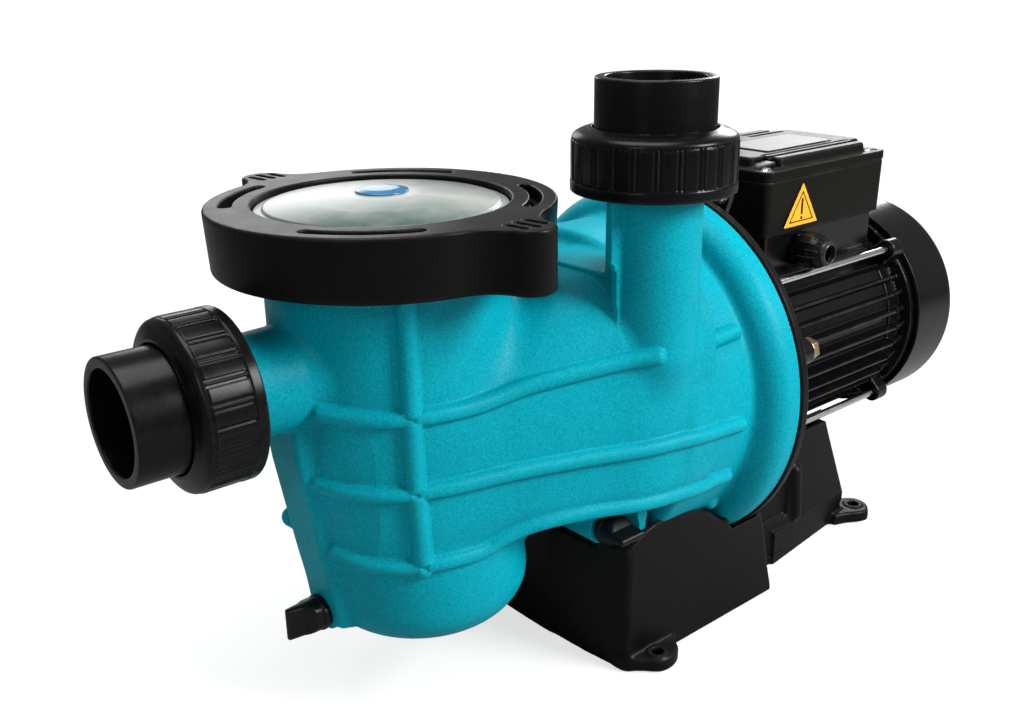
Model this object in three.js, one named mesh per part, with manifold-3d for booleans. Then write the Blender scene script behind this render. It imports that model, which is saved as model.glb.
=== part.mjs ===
// Self-priming pool pump with strainer pot, axial motor, base and union connectors.
// Units: millimetres. +Z up, +X from the pot towards the motor, -Y the discharge side.
// Origin: on the floor plane, below the shaft axis, in the plane of the casing flange.
// "Front" is the pot end (-X), "rear" the fan end (+X).
import * as THREE from "three";
import { mergeVertices } from "three/addons/utils/BufferGeometryUtils.js";
import Module from "manifold-3d";

const wasm = await Module();
wasm.setup();

// ---- driving dimensions -------------------------------------------------
// _R is a radius, _X, _Y and _Z are places on the axes.
const GAP = 0.3; // clearance between neighbouring pieces
const FINE = 0.36; // share of the nominal segment counts that is built
const DEGREE = Math.PI / 180;
const ORIGIN = [0, 0, 0];

const SHAFT_Z = 147.4;
const SHAFT_CENTRE = [0, 0, SHAFT_Z];

// strainer pot, its collar and the clamp ring
const POT_X = -203;
const POT_R = 62.3;
const POT_BORE_R = 56;
const COLLAR_R = 76;
const COLLAR_TOP_Z = 272;
const LID_Z = COLLAR_TOP_Z + GAP; // underside of the lid rim
const RING_R = 87.7;
const RING_BORE_R = 77;
const RING_EYE_R = 64.5;
const RING_BOTTOM_Z = 253;
const RING_TOP_Z = 283.7;

// union connectors, measured inwards from the socket face
const SOCKET_R = 30.5;
const SOCKET_BORE_R = 25.15;
const SOCKET_DEPTH = 29;
const UNION_LEN = 36; // socket face to sealing face
const TAIL_BORE_R = 21.5;
const TAIL_COLLAR_R = 36.2;
const NUT_R = 42.3;
const NUT_BORE_R = 37.4;
const NUT_FROM = 26;
const NUT_TO = 56;

// ports
const SUCTION_Z = 204;
const SUCTION_END_X = -352.3; // outer face of the suction socket
const DISCH_X = -92.5;
const DISCH_Y = -80.5;
const DISCH_TOP_Z = 340.3; // outer face of the discharge socket
const PORT_THREAD_R = 36.8;
const PORT_BORE_R = 20;
const SUCTION_SEAL = [SUCTION_END_X + UNION_LEN, 0, SUCTION_Z];
const DISCH_SEAL = [DISCH_X, DISCH_Y, DISCH_TOP_Z - UNION_LEN];

// centres of the sealing faces of the drain bosses
const POT_DRAIN = [-254, 0, 67.5];
const VOLUTE_DRAIN = [-113, -70, 96];
const DRAIN_BORE_R = 6.6;

// casing, seal plate and bolts
const FLANGE_R = 114.5;
const VOLUTE_R = 91.5;
const CHAMBER_R = 62;
const PLATE_R = 117;
const BOLT_CIRCLE_R = 106.5;
const BOLT_HOLE_R = 4.3;
const BOLT_ANGLES = around(6, 44);

// motor
const FRAME_TIP_R = 70;
const FRAME_BODY_R = 61;
const FRAME_BORE_R = 55;
const FRAME_X0 = 46;
const FRAME_X1 = 178;
const FIN_PITCH = 10; // degrees
const FIN_THICKNESS = 2.2;
const ROD_R = 2.5;
const ROD_HOLE_R = 3.1;
const ROD_CIRCLE_R = 76;
const ROD_ANGLES = around(4, 45);
const COVER_R = 76;
const COVER_X0 = 195;
const COVER_X1 = 244;
const COVER_WALL = 1.6;

// terminal box on its pedestal
const BOX_X0 = 46;
const BOX_X1 = 175.5;
const BOX_HALF_Y = 48.5;
const BOX_Z0 = 229.3;
const BOX_Z1 = 264.3;
const PEDESTAL_HALF_Y = 44;
const GLAND = [87, 0, 216.8]; // the cable gland runs from here along -Y
const WIRE_HOLE = [115, 0, 0];
const WIRE_HOLE_R = 9;

const BASE_HALF_Y = 82;
const REAR_HALF_Y = 62; // pedestal of the base under the motor

// ---- solids -------------------------------------------------------------
// Welds a geometry into a manifold solid, facing outwards.
function toSolid(geometry) {
  geometry.deleteAttribute("normal");
  geometry.deleteAttribute("uv");
  const merged = mergeVertices(geometry, 1e-4);
  const source = merged.index.array;
  const points = merged.attributes.position.array;
  const triangles = [];
  for (let i = 0; i < source.length; i += 3) {
    const [a, b, c] = [source[i], source[i + 1], source[i + 2]];
    if (a !== b && b !== c && a !== c) triangles.push(a, b, c);
  }
  let volume = 0;
  for (let i = 0; i < triangles.length; i += 3) {
    const [a, b, c] = triangles.slice(i, i + 3).map((v) => v * 3);
    volume += points[a] * (points[b + 1] * points[c + 2] - points[b + 2] * points[c + 1]) -
      points[a + 1] * (points[b] * points[c + 2] - points[b + 2] * points[c]) +
      points[a + 2] * (points[b] * points[c + 1] - points[b + 1] * points[c]);
  }
  if (volume < 0) triangles.reverse();
  return new wasm.Manifold(new wasm.Mesh({
    numProp: 3,
    vertProperties: new Float32Array(points),
    triVerts: new Uint32Array(triangles),
  }));
}

function toGeometry(solid) {
  const mesh = solid.getMesh();
  const geometry = new THREE.BufferGeometry();
  const points = new Float32Array(mesh.vertProperties);
  geometry.setAttribute("position", new THREE.BufferAttribute(points, 3));
  geometry.setIndex(new THREE.BufferAttribute(new Uint32Array(mesh.triVerts), 1));
  const flat = geometry.toNonIndexed();
  flat.computeVertexNormals();
  return flat;
}

const join = (...solids) => solids.reduce((a, b) => a.add(b));
const cut = (base, ...tools) => tools.reduce((a, b) => a.subtract(b), base);

// ---- points on circles --------------------------------------------------
// equally spaced angles in degrees
function around(count, phase = 0) {
  return Array.from({ length: count }, (_, k) => phase + k * 360 / count);
}

function onCircle(radius, degrees) {
  return [radius * Math.cos(degrees * DEGREE), radius * Math.sin(degrees * DEGREE)];
}

// point in the YZ plane on a circle about the shaft, in the shaft frame or raised by centreZ
function aboutShaft(radius, degrees, centreZ = 0) {
  const [y, z] = onCircle(radius, degrees);
  return [0, y, centreZ + z];
}

function ellipse(radiusA, radiusB, segments) {
  const count = Math.round(segments * FINE * 0.7) * 2;
  return Array.from({ length: count }, (_, i) => {
    const angle = i * 2 * Math.PI / count;
    return [radiusA * Math.cos(angle), radiusB * Math.sin(angle)];
  });
}

// loft stations: rings of points square to Z or X
function ringZ(centreX, centreY, z, radiusX, radiusY = radiusX, segments = 40) {
  return ellipse(radiusX, radiusY, segments).map(([x, y]) => [centreX + x, centreY + y, z]);
}
function ringX(x, radius, centreZ = SHAFT_Z, segments = 40) {
  return ellipse(radius, radius, segments).map(([y, z]) => [x, y, centreZ + z]);
}

// ---- shapes -------------------------------------------------------------
// Turns a shape that is built along +Y onto another axis.
const AXIS = {
  "+Z": new THREE.Matrix4().makeRotationX(Math.PI / 2),
  "+X": new THREE.Matrix4().makeRotationZ(-Math.PI / 2),
  "-X": new THREE.Matrix4().makeRotationZ(Math.PI / 2),
  "-Y": new THREE.Matrix4().makeRotationZ(Math.PI),
};

// solid of revolution; profile is [[height, radius], ...] along the axis, closed on itself
function turned(profile, segments, axis = "+Z", at = ORIGIN) {
  const points = profile.map(([height, radius]) => new THREE.Vector2(radius, height));
  points.push(points[0].clone());
  const count = segments < 16 ? segments : Math.max(10, Math.round(segments * FINE / 2) * 2);
  const geometry = new THREE.LatheGeometry(points, count).applyMatrix4(AXIS[axis]);
  return toSolid(geometry.translate(...at));
}
function tube([inner, outer], [from, to], segments, axis, at) {
  return turned([[from, inner], [from, outer], [to, outer], [to, inner]], segments, axis, at);
}
function bar(radius, span, segments, axis, at) {
  return tube([0, radius], span, segments, axis, at);
}

function boxGeometry([x0, x1], [y0, y1], [z0, z1]) {
  return new THREE.BoxGeometry(x1 - x0, y1 - y0, z1 - z0)
    .translate((x0 + x1) / 2, (y0 + y1) / 2, (z0 + z1) / 2);
}
const box = (spanX, spanY, spanZ) => toSolid(boxGeometry(spanX, spanY, spanZ));

// box reaching over a span of radii, turned about an X or Z line
function radialBoxX(spanX, radii, thickness, degrees, centreZ = 0) {
  return toSolid(boxGeometry(spanX, radii, [-thickness / 2, thickness / 2])
    .rotateX(degrees * DEGREE).translate(0, 0, centreZ));
}
function radialBoxZ(spanZ, radii, thickness, degrees, offset = 0) {
  const width = [offset - thickness / 2, offset + thickness / 2];
  return toSolid(boxGeometry(radii, width, spanZ).rotateZ(degrees * DEGREE));
}

function extruded(outline, depth) {
  const shape = new THREE.Shape(outline.map(([a, b]) => new THREE.Vector2(a, b)));
  return new THREE.ExtrudeGeometry(shape, { depth, bevelEnabled: false });
}
// prism from an XY outline
function prismZ(outline, z0, z1) {
  return toSolid(extruded(outline, z1 - z0).translate(0, 0, z0));
}
// prism from an XZ outline
function prismY(outline, y0, y1) {
  return toSolid(extruded(outline, y1 - y0).applyMatrix4(AXIS["+Z"]).translate(0, y1, 0));
}
// prism from a YZ outline
function prismX(outline, x0, x1) {
  const toYZ = new THREE.Matrix4().set(0, 0, 1, 0, 1, 0, 0, 0, 0, 1, 0, 0, 0, 0, 0, 1);
  return toSolid(extruded(outline, x1 - x0).applyMatrix4(toYZ).translate(x0, 0, 0));
}

// stack of rings of equal point count, capped at both ends
function loft(rings) {
  const count = rings[0].length;
  const positions = rings.flat(2);
  const index = [];
  for (let k = 0; k + 1 < rings.length; k++)
    for (let i = 0; i < count; i++) {
      const a = k * count + i;
      const b = k * count + ((i + 1) % count);
      index.push(a, b, b + count, a, b + count, a + count);
    }
  for (const k of [0, rings.length - 1]) {
    const centre = positions.length / 3;
    const middle = [0, 0, 0];
    for (const point of rings[k]) for (let j = 0; j < 3; j++) middle[j] += point[j] / count;
    positions.push(...middle);
    for (let i = 0; i < count; i++) {
      const a = k * count + i;
      const b = k * count + ((i + 1) % count);
      if (k === 0) index.push(centre, b, a);
      else index.push(centre, a, b);
    }
  }
  const geometry = new THREE.BufferGeometry();
  geometry.setAttribute("position", new THREE.BufferAttribute(new Float32Array(positions), 3));
  geometry.setIndex(index);
  return toSolid(geometry);
}

// many-sided bar along a path of points
function wire(points, radius, sides) {
  return loft(points.map((point, i) => {
    const before = new THREE.Vector3(...points[Math.max(i - 1, 0)]);
    const after = new THREE.Vector3(...points[Math.min(i + 1, points.length - 1)]);
    const along = after.sub(before).normalize();
    const up = Math.abs(along.z) > 0.9 ? new THREE.Vector3(1, 0, 0) : new THREE.Vector3(0, 0, 1);
    const u = new THREE.Vector3().crossVectors(along, up).normalize();
    const v = new THREE.Vector3().crossVectors(along, u).normalize();
    return Array.from({ length: sides }, (_, k) => {
      const angle = (k + 0.5) * 2 * Math.PI / sides;
      return new THREE.Vector3(...point)
        .addScaledVector(u, Math.cos(angle) * radius)
        .addScaledVector(v, Math.sin(angle) * radius)
        .toArray();
    });
  }));
}

// ---- materials and assembly ---------------------------------------------
const MATERIALS = {
  casing: { color: 0x0697ae, roughness: 0.55, metalness: 0 },
  black_plastic: { color: 0x191a1b, roughness: 0.5, metalness: 0 },
  upvc: { color: 0x161718, roughness: 0.4, metalness: 0 },
  motor_paint: { color: 0x111213, roughness: 0.25, metalness: 0.2 },
  box_plastic: { color: 0x1c1c1b, roughness: 0.4, metalness: 0 },
  clear_lid: {
    color: 0xcfdcda, roughness: 0.08, metalness: 0, transparent: true, opacity: 0.45,
  },
  badge: { color: 0x2b7fb0, roughness: 0.2, metalness: 0 },
  basket: { color: 0xe6e8e6, roughness: 0.5, metalness: 0 },
  rubber: { color: 0x151515, roughness: 0.8, metalness: 0 },
  steel: { color: 0xb9bcc0, roughness: 0.25, metalness: 1 },
  brass: { color: 0xc79a6b, roughness: 0.35, metalness: 1 },
  copper: { color: 0xb4652f, roughness: 0.4, metalness: 0.8 },
  lamination: { color: 0x6d6f72, roughness: 0.5, metalness: 0.7 },
  noryl: { color: 0x2c2f33, roughness: 0.45, metalness: 0 },
  ceramic: { color: 0xe9e4da, roughness: 0.3, metalness: 0 },
  carbon: { color: 0x2a2a2c, roughness: 0.5, metalness: 0.1 },
  plate: { color: 0xc9ccce, roughness: 0.35, metalness: 0.6 },
  yellow: { color: 0xf2b21c, roughness: 0.4, metalness: 0 },
  white_plastic: { color: 0xdfe3e2, roughness: 0.4, metalness: 0 },
};
const pump = new THREE.Group();

function add(name, solid, material, parent = pump) {
  const look = new THREE.MeshStandardMaterial(MATERIALS[material]);
  const mesh = new THREE.Mesh(toGeometry(solid), look);
  mesh.name = name;
  parent.add(mesh);
}

// ---- casing -------------------------------------------------------------
// pot stations: [shift of the centre from the pot axis along X, z, radius]
const POT_OUTSIDE = [
  [14, 46, 34], [14, 54, 50], [14, 71, 59], [8, 101, 61.4], [0, 160, POT_R], [0, 245, POT_R],
  [0, 256, COLLAR_R], [0, COLLAR_TOP_Z, COLLAR_R],
];
const POT_INSIDE = [
  [14, 54, 40], [14, 74, 53], [8, 101, 55], [0, 160, POT_BORE_R], [0, 228, POT_BORE_R],
  [0, 258, 66], [0, 280, 66],
];
const potLoft = (stations) => loft(stations.map(([dx, z, r]) => ringZ(POT_X + dx, 0, z, r)));

// barrel between pot and volute, open below
function barrel() {
  return loft([ringX(-200, 64), ringX(-170, 69), ringX(-60, 89)])
    .subtract(box([-260, 0], [-120, 120], [0, 99]));
}

function volute() {
  return turned([
    [-97, 0], [-97, 85], [-90, VOLUTE_R], [-26, VOLUTE_R], [-17, 98], [-11, 110],
    [-6, FLANGE_R], [0, FLANGE_R], [0, 0],
  ], 64, "+X", SHAFT_CENTRE);
}

function dischargeRiser() {
  const axis = [DISCH_X, DISCH_Y, 0];
  const tubeR = 25;
  const nutEnd = DISCH_TOP_Z - NUT_TO;
  const ring = (z, radius) => ringZ(DISCH_X, DISCH_Y, z, radius, radius, 36);
  return join(
    bar(tubeR, [172, 290], 36, "+Z", axis),
    loft([ringZ(DISCH_X + 6, DISCH_Y + 22, 150, 10, 8, 36), ring(182, tubeR)]),
    bar(PORT_THREAD_R, [nutEnd + 4, DISCH_SEAL[2]], 40, "+Z", axis),
    loft([ring(nutEnd, tubeR), ring(nutEnd + 4.1, PORT_THREAD_R - 0.3)]),
  );
}

function suctionNeck() {
  const collar = [SUCTION_SEAL[0], SUCTION_END_X + NUT_TO - 3];
  return join(
    bar(26, [0, 110], 36, "-X", [POT_X, 0, SUCTION_Z]),
    bar(PORT_THREAD_R, collar, 40, "+X", [0, 0, SUCTION_Z]),
    loft([ringX(-270, 26, SUCTION_Z, 36), ringX(-250, 34, SUCTION_Z, 36)]),
  );
}

// Ribs on the -Y side that run round the pot and on along the barrel.
// end: z at the rear; tail: [x, y] of the last points
const LONG_RIBS = [
  { z: 193, dx: 0, radius: 63.4, end: 193, tail: [[-84, -77]] },
  { z: 149, dx: 2, radius: 63.2, end: 149, tail: [[-84, -89], [-66, -91.5], [-34, -91.5]] },
  { z: 105, dx: 7, radius: 62.6, end: 114, tail: [[-84, -82], [-66, -86], [-34, -86]] },
];
// Ribs down the pot: [degrees, radius, z, shift along X]
const UPRIGHT_RIBS = [
  [[244, 63, 252, 0], [244, 63, 150, 1], [244, 61.5, 92, 10]],
  [[203, 63, 178, 0], [202, 62.6, 130, 4], [194, 60, 78, 13]],
];
function potPoint(degrees, radius, z, dx) {
  const [x, y] = onCircle(radius, degrees);
  return [POT_X + dx + x, y, z];
}
function longRib({ z, dx, radius, end, tail }) {
  const sideY = (barrelR) => 1 - Math.sqrt(barrelR ** 2 - (end - SHAFT_Z) ** 2);
  const frontY = sideY(71);
  return [
    ...[198, 216, 234, 252, 270].map((degrees) => potPoint(degrees, radius, z, dx)),
    [-182, Math.min(-61.5, frontY + 5), z + (end - z) * 0.3],
    [-168, frontY, z + (end - z) * 0.5],
    [-96, sideY(84), end],
    ...tail.map(([x, y]) => [x, y, end]),
  ];
}
function ribs() {
  const paths = [
    ...LONG_RIBS.map(longRib),
    [[-66, DISCH_Y, 195], [-26, DISCH_Y, 195]],
    ...UPRIGHT_RIBS.map((path) => path.map((point) => potPoint(...point))),
  ];
  return join(...paths.map((path) => wire(path, 4, 4)));
}

// groove in a port face for its O-ring; the tool reaches out past the face
const faceGroove = (axis, face) => tube([27, 32.4], [-3.4, 10], 40, axis, face);

function chamber() {
  return turned([
    [-93, 0], [-93, CHAMBER_R], [-40, CHAMBER_R], [-22, 84], [-10, 93], [1, 93], [1, 0],
  ], 48, "+X", SHAFT_CENTRE);
}

// passage that leads from the chamber into the riser
function riserTurn() {
  return loft([
    ringZ(DISCH_X, DISCH_Y, 202, 19, 19, 24),
    ringZ(DISCH_X, -62, 172, 17, 16, 24),
    ringZ(DISCH_X, -44, 155, 15, 15, 24),
  ]);
}

function pumpBody() {
  const body = join(
    potLoft(POT_OUTSIDE),
    barrel(),
    volute(),
    box([-97, -62], [-80, 0], [190, 238]), // block between volute and riser
    dischargeRiser(),
    suctionNeck(),
    ribs(),
    box([DISCH_X - 2, DISCH_X + 2], [-78, -50], [86, 112]), // fin low on the volute
    // fin up the riser
    prismY([[-116, 284], [-105, 284], [-105, 205], [-110, 205], [-113, 238]], -74, -70.4),
    bar(11, [-60, 0], 28, "-X", POT_DRAIN),
    bar(11, [-74, 0], 28, "-Y", VOLUTE_DRAIN),
  );
  return cut(
    body,
    potLoft(POT_INSIDE),
    bar(PORT_BORE_R, [30, 160], 32, "-X", [POT_X, 0, SUCTION_Z]),
    faceGroove("-X", SUCTION_SEAL),
    faceGroove("+Z", DISCH_SEAL),
    bar(22, [-160, -90], 32, "+X", SHAFT_CENTRE), // eye from the pot to the chamber
    chamber(),
    tube([96, 100.6], [-4.2, 1], 56, "+X", SHAFT_CENTRE), // groove in the flange face
    bar(PORT_BORE_R, [196, 320], 32, "+Z", [DISCH_X, DISCH_Y, 0]),
    riserTurn(),
    bar(DRAIN_BORE_R, [-30, 20], 24, "-X", POT_DRAIN),
    bar(DRAIN_BORE_R, [-62, 20], 24, "-Y", VOLUTE_DRAIN),
    // cross hole from the volute drain bore to the chamber
    bar(4, [VOLUTE_DRAIN[0], -88], 16, "+X", [0, -14, VOLUTE_DRAIN[2] + 5]),
    ...BOLT_ANGLES.map((degrees) =>
      bar(BOLT_HOLE_R, [-10, 2], 10, "+X", aboutShaft(BOLT_CIRCLE_R, degrees, SHAFT_Z))),
    // clear space in front of the drain faces
    bar(16, [0, 60], 24, "-X", POT_DRAIN),
    bar(11.5, [0, 30], 24, "-Y", VOLUTE_DRAIN),
  );
}
add("pump_body", pumpBody(), "casing");

// ---- strainer lid, clamp ring and basket (on the pot axis) --------------
// Profiles of the lid and its badge: [height over the rim underside, radius]
const LID_PROFILE = [
  [-12, 60.5], [-12, 63.6], [0, 64.6], [0, 75], [5, 75], [5, 63.4], [8.2, 60], [11.5, 46],
  [13.8, 28], [14.8, 0], [11.6, 0], [10, 30], [7.6, 46], [4.6, 58.5],
];
const BADGE_PROFILE = [[15.1, 0], [15.1, 13.4], [15.8, 13.4], [16.6, 8], [16.9, 0]];
const onLid = (profile) => profile.map(([height, radius]) => [LID_Z + height, radius]);

function lid() {
  const groove = tube([62.2, 66], [LID_Z - 8.2, LID_Z - 4.4], 56);
  return cut(turned(onLid(LID_PROFILE), 56), groove);
}

// Grip lug of the clamp ring: [distance from the axis, sideways offset]
const LUG = [
  [78, -26], [86, -20], [93, -15.6], [106.5, -13], [109, -9.5], [109.6, 0], [109, 9.5],
  [106, 13], [93, 15.2], [84, 19], [78, 23],
];
const LUG_ANGLES = [-82, 98];

function ringLug(degrees) {
  const [cos, sin] = onCircle(1, degrees);
  const outline = LUG.map(([u, v]) => [u * cos - v * sin, u * sin + v * cos]);
  return prismZ(outline, RING_BOTTOM_Z, RING_TOP_Z - 0.4);
}
function ringSlot(degrees) {
  const sweep = [-20, -10, 0, 10, 20];
  const outline = [
    ...sweep.map((step) => onCircle(79.6, degrees + step)),
    ...sweep.map((step) => onCircle(73.6, degrees - step)),
  ];
  return prismZ(outline, RING_TOP_Z - 4, RING_TOP_Z + 2);
}
function lugGrooves(degrees) {
  const depth = [RING_TOP_Z - 2.5, RING_TOP_Z + 2.5];
  return [-6, 0, 6].map((offset) => radialBoxZ(depth, [92, 107], 2.6, degrees, offset));
}
function lidRing() {
  const seatZ = LID_Z + 5.4; // just over the lid rim
  const ring = turned([
    [RING_BOTTOM_Z, RING_BORE_R], [RING_BOTTOM_Z, RING_R - 1.6], [RING_BOTTOM_Z + 1, RING_R - 1.2],
    [RING_TOP_Z - 2, RING_R], [RING_TOP_Z, RING_R - 2], [RING_TOP_Z, RING_EYE_R + 1],
    [RING_TOP_Z - 1, RING_EYE_R], [seatZ, RING_EYE_R], [seatZ, 70], [seatZ, RING_BORE_R],
  ], 64);
  return cut(
    join(ring, ...LUG_ANGLES.map(ringLug)),
    bar(RING_BORE_R, [RING_BOTTOM_Z - 2, seatZ], 64),
    ...[133, 47, -38, -131].map(ringSlot),
    ...LUG_ANGLES.flatMap(lugGrooves),
  );
}

function strainerBasket() {
  const upperRow = [176, 226];
  const slots = [];
  for (const degrees of around(10, 18)) {
    slots.push(radialBoxZ([122, 166], [30, 60], 12, degrees));
    // the two columns facing the suction port give way to one wide opening
    if (Math.abs(degrees - 180) > 20) slots.push(radialBoxZ(upperRow, [30, 60], 12, degrees));
  }
  const shell = turned([
    [112, 0], [112, 40], [236, 50], [236, 57.6], [239.5, 57.6], [239.5, 48.4], [115, 37.6],
    [115, 0],
  ], 48);
  const basket = cut(
    shell,
    ...slots,
    box([-70, -30], [-20, 20], upperRow),
    ...around(4).map((degrees) => radialBoxZ([105, 120], [9, 30], 8, degrees)),
  );
  // bail handle across the rim
  const handle = [0, 30, 60, 90, 120, 150, 180].map((degrees) =>
    [onCircle(51.5, degrees)[0], 0, 237.6 + onCircle(26, degrees)[1]]);
  return basket.add(wire(handle, 2.4, 6));
}

const potGroup = new THREE.Group();
potGroup.position.set(POT_X, 0, 0);
pump.add(potGroup);
add("lid", lid(), "clear_lid", potGroup);
add("lid_badge", turned(onLid(BADGE_PROFILE), 32), "badge", potGroup);
add("lid_oring", tube([62.8, 65.2], [LID_Z - 7.7, LID_Z - 4.9], 56), "rubber", potGroup);
add("lid_ring", lidRing(), "black_plastic", potGroup);
add("strainer_basket", strainerBasket(), "basket", potGroup);

// ---- union connectors ---------------------------------------------------
// Local frame: origin on the socket face, +Z pointing out of the port.
function unionTail() {
  const seal = -UNION_LEN + GAP;
  return turned([
    [0, SOCKET_BORE_R], [0, SOCKET_R], [-31, SOCKET_R], [-31, TAIL_COLLAR_R],
    [seal, TAIL_COLLAR_R], [seal, TAIL_BORE_R], [-SOCKET_DEPTH, TAIL_BORE_R],
    [-SOCKET_DEPTH, SOCKET_BORE_R],
  ], 56);
}
function unionNut() {
  const eyeR = SOCKET_R + 0.8;
  const nut = turned([
    [-NUT_FROM, eyeR], [-NUT_FROM, 34.5], [-31.5, NUT_R - 0.6], [-50, NUT_R],
    [-NUT_TO, NUT_R - 0.5], [-NUT_TO, NUT_BORE_R], [-30.6, NUT_BORE_R], [-30.6, eyeR],
  ], 72);
  return cut(nut, ...around(8).map((degrees) =>
    radialBoxZ([-49.5, -33], [NUT_R - 1.6, NUT_R + 2], 12, degrees)));
}
function unionConnector(prefix) {
  const group = new THREE.Group();
  add(prefix + "_tail", unionTail(), "upvc", group);
  add(prefix + "_nut", unionNut(), "upvc", group);
  pump.add(group);
  return group;
}
const suction = unionConnector("suction_union");
suction.position.set(SUCTION_END_X, 0, SUCTION_Z);
suction.rotation.set(0, -Math.PI / 2, 0);
const discharge = unionConnector("discharge_union");
discharge.position.set(DISCH_X, DISCH_Y, DISCH_TOP_Z);

const faceSeal = (axis, face) => tube([27.6, 31.6], [-3.1, -0.2], 40, axis, face);
add("suction_union_oring", faceSeal("-X", SUCTION_SEAL), "rubber");
add("discharge_union_oring", faceSeal("+Z", DISCH_SEAL), "rubber");

// ---- drain plugs --------------------------------------------------------
// Local frame: origin on the boss face, +Z pointing out.
const PLUG_SHANK_R = 6.2;
const PLUG_HEAD_R = 9.3;
const PLUG_GRIP_HALF = 8.6; // half width of the flat grip
// round head that flattens to a grip: [z, half width in X, half width in Y]
const PLUG_HEAD = [
  [2.4, PLUG_HEAD_R, PLUG_HEAD_R], [9.5, PLUG_HEAD_R, PLUG_HEAD_R],
  [13, PLUG_GRIP_HALF, PLUG_HEAD_R * 0.55], [22.6, PLUG_GRIP_HALF, 2.2],
  [23.4, PLUG_GRIP_HALF - 1, 1.6],
];
function drainPlug(prefix, face) {
  const group = new THREE.Group();
  const head = loft(PLUG_HEAD.map(([z, halfX, halfY]) => ringZ(0, 0, z, halfX, halfY, 28)));
  const plug = join(head, bar(PLUG_SHANK_R, [-12, 3], 24));
  const seal = tube([PLUG_SHANK_R + 0.8, PLUG_SHANK_R + 2.6], [GAP, 2.1], 28);
  add(prefix + "_drain_plug", plug, "black_plastic", group);
  add(prefix + "_drain_oring", seal, "rubber", group);
  group.position.set(...face);
  pump.add(group);
  return group;
}
drainPlug("pot", POT_DRAIN).rotation.set(0, -Math.PI / 2, 0);
drainPlug("volute", VOLUTE_DRAIN).rotation.set(Math.PI / 2, 0, 0);

// ---- pieces on the shaft axis -------------------------------------------
// Local frame: origin on the shaft axis in the flange plane. Profiles are [x, radius].
const shaftGroup = new THREE.Group();
shaftGroup.position.set(0, 0, SHAFT_Z);
pump.add(shaftGroup);

const addOnShaft = (name, solid, material) => add(name, solid, material, shaftGroup);
const turnedX = (profile, segments) => turned(profile, segments, "+X");
const tubeX = (radii, span, segments) => tube(radii, span, segments, "+X");
const barX = (radius, span, segments, at) => bar(radius, span, segments, "+X", at);

// the same bar at each casing bolt or tie rod
const atBolts = (radius, span, segments) => BOLT_ANGLES.map((degrees) =>
  barX(radius, span, segments, aboutShaft(BOLT_CIRCLE_R, degrees)));
const atRods = (radius, span, segments) => ROD_ANGLES.map((degrees) =>
  barX(radius, span, segments, aboutShaft(ROD_CIRCLE_R, degrees)));
const rodEars = (span, radii) => ROD_ANGLES.map((degrees) =>
  radialBoxX(span, radii, 12, degrees));

function diffuser() {
  const cup = turnedX([
    [-92.4, 24], [-92.4, 60], [-42, 60], [-42, 57], [-89.4, 57], [-89.4, 24],
  ], 48);
  return cut(cup, ...around(8).map((degrees) =>
    radialBoxX([-60, -46], [50, 70], 18, degrees)));
}

// swept vane, thicker at its inner end
function impellerVane(degrees) {
  const point = (step, lead) => onCircle(18 + step * 16.8, degrees + step * 36 + lead);
  return prismX([
    ...[0, 1, 2].map((step) => point(step, 0)),
    ...[2, 1, 0].map((step) => point(step, 4 + (2 - step) * 2.4)),
  ], -78, -66);
}
// closed impeller: two shrouds, six vanes, hub
function impeller() {
  const front = turnedX([
    [-91, 17.5], [-91, 20.4], [-84, 21], [-76, 52], [-74, 52], [-80, 20], [-80, 17.5],
  ], 40);
  const back = turnedX([
    [-67, 8], [-67, 52], [-64.5, 52], [-64.5, 14], [-57, 12.5], [-57, 8],
  ], 40);
  return cut(join(front, back, ...around(6).map(impellerVane)), barX(8, [-110, -50], 24));
}
function impellerNut() {
  return turnedX([[-80, 0], [-79, 5], [-75, 9], [-67.4, 9], [-67.4, 0]], 20)
    .subtract(barX(6.2, [-74, -60], 20));
}
function rotatingSeal() {
  return turnedX([
    [-56.6, 8.3], [-56.6, 15], [-46, 15], [-46, 12.5], [-40.3, 12.5], [-40.3, 8.3],
  ], 32);
}

// shaft from impeller to fan
function motorShaft() {
  return turnedX([
    [-72, 0], [-72, 5.7], [-67, 5.7], [-67, 7.7], [22, 7.7], [22, 8.2], [46, 8.2], [46, 9.7],
    [170, 9.7], [170, 8.2], [188, 8.2], [188, 6.4], [222, 6.4], [222, 0],
  ], 28);
}

// plate that closes the casing and carries the seal seat
function sealPlate() {
  const plate = turnedX([
    [GAP, 56], [GAP, PLATE_R], [5.8, PLATE_R], [5.8, 20], [-12, 20], [-27.4, 18.5],
    [-27.4, 10.5], [-30, 10.5], [-30, 15.9], [-38, 15.9], [-38, 19], [-14, 30],
  ], 64);
  return cut(plate, barX(10.6, [-50, 20], 24), ...atBolts(BOLT_HOLE_R, [-2, 12], 10));
}

// bracket between plate and motor, with front bearing seat and tie-rod ears
function motorBracket() {
  const bracket = turnedX([
    [7.1, 60], [7.1, 99], [13, 99], [32, 71], [45.7, 71], [45.7, 58], [42, 58], [42, 18.8],
    [28.6, 18.8], [28.6, 11], [24, 11], [24, 24], [36, 30], [30, 62],
  ], 56);
  return cut(
    join(bracket, ...atBolts(9, [7.1, 18], 20), ...rodEars([30, 45.7], [60, 82])),
    ...atBolts(BOLT_HOLE_R, [5, 25], 10),
    ...atRods(ROD_HOLE_R, [34, 60], 8),
  );
}

// shanks with heads, numbered from 1
function addHeaded(prefix, shanks, heads, material) {
  shanks.forEach((shank, i) => addOnShaft(prefix + (i + 1), shank.add(heads[i]), material));
}

// two rings, the balls left out
function addBearing(prefix, x) {
  const span = [x, x + 12];
  addOnShaft(prefix + "_bearing_outer", tubeX([15.2, 18.5], span, 32), "steel");
  addOnShaft(prefix + "_bearing_inner", tubeX([8.5, 12], span, 28), "steel");
}

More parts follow.
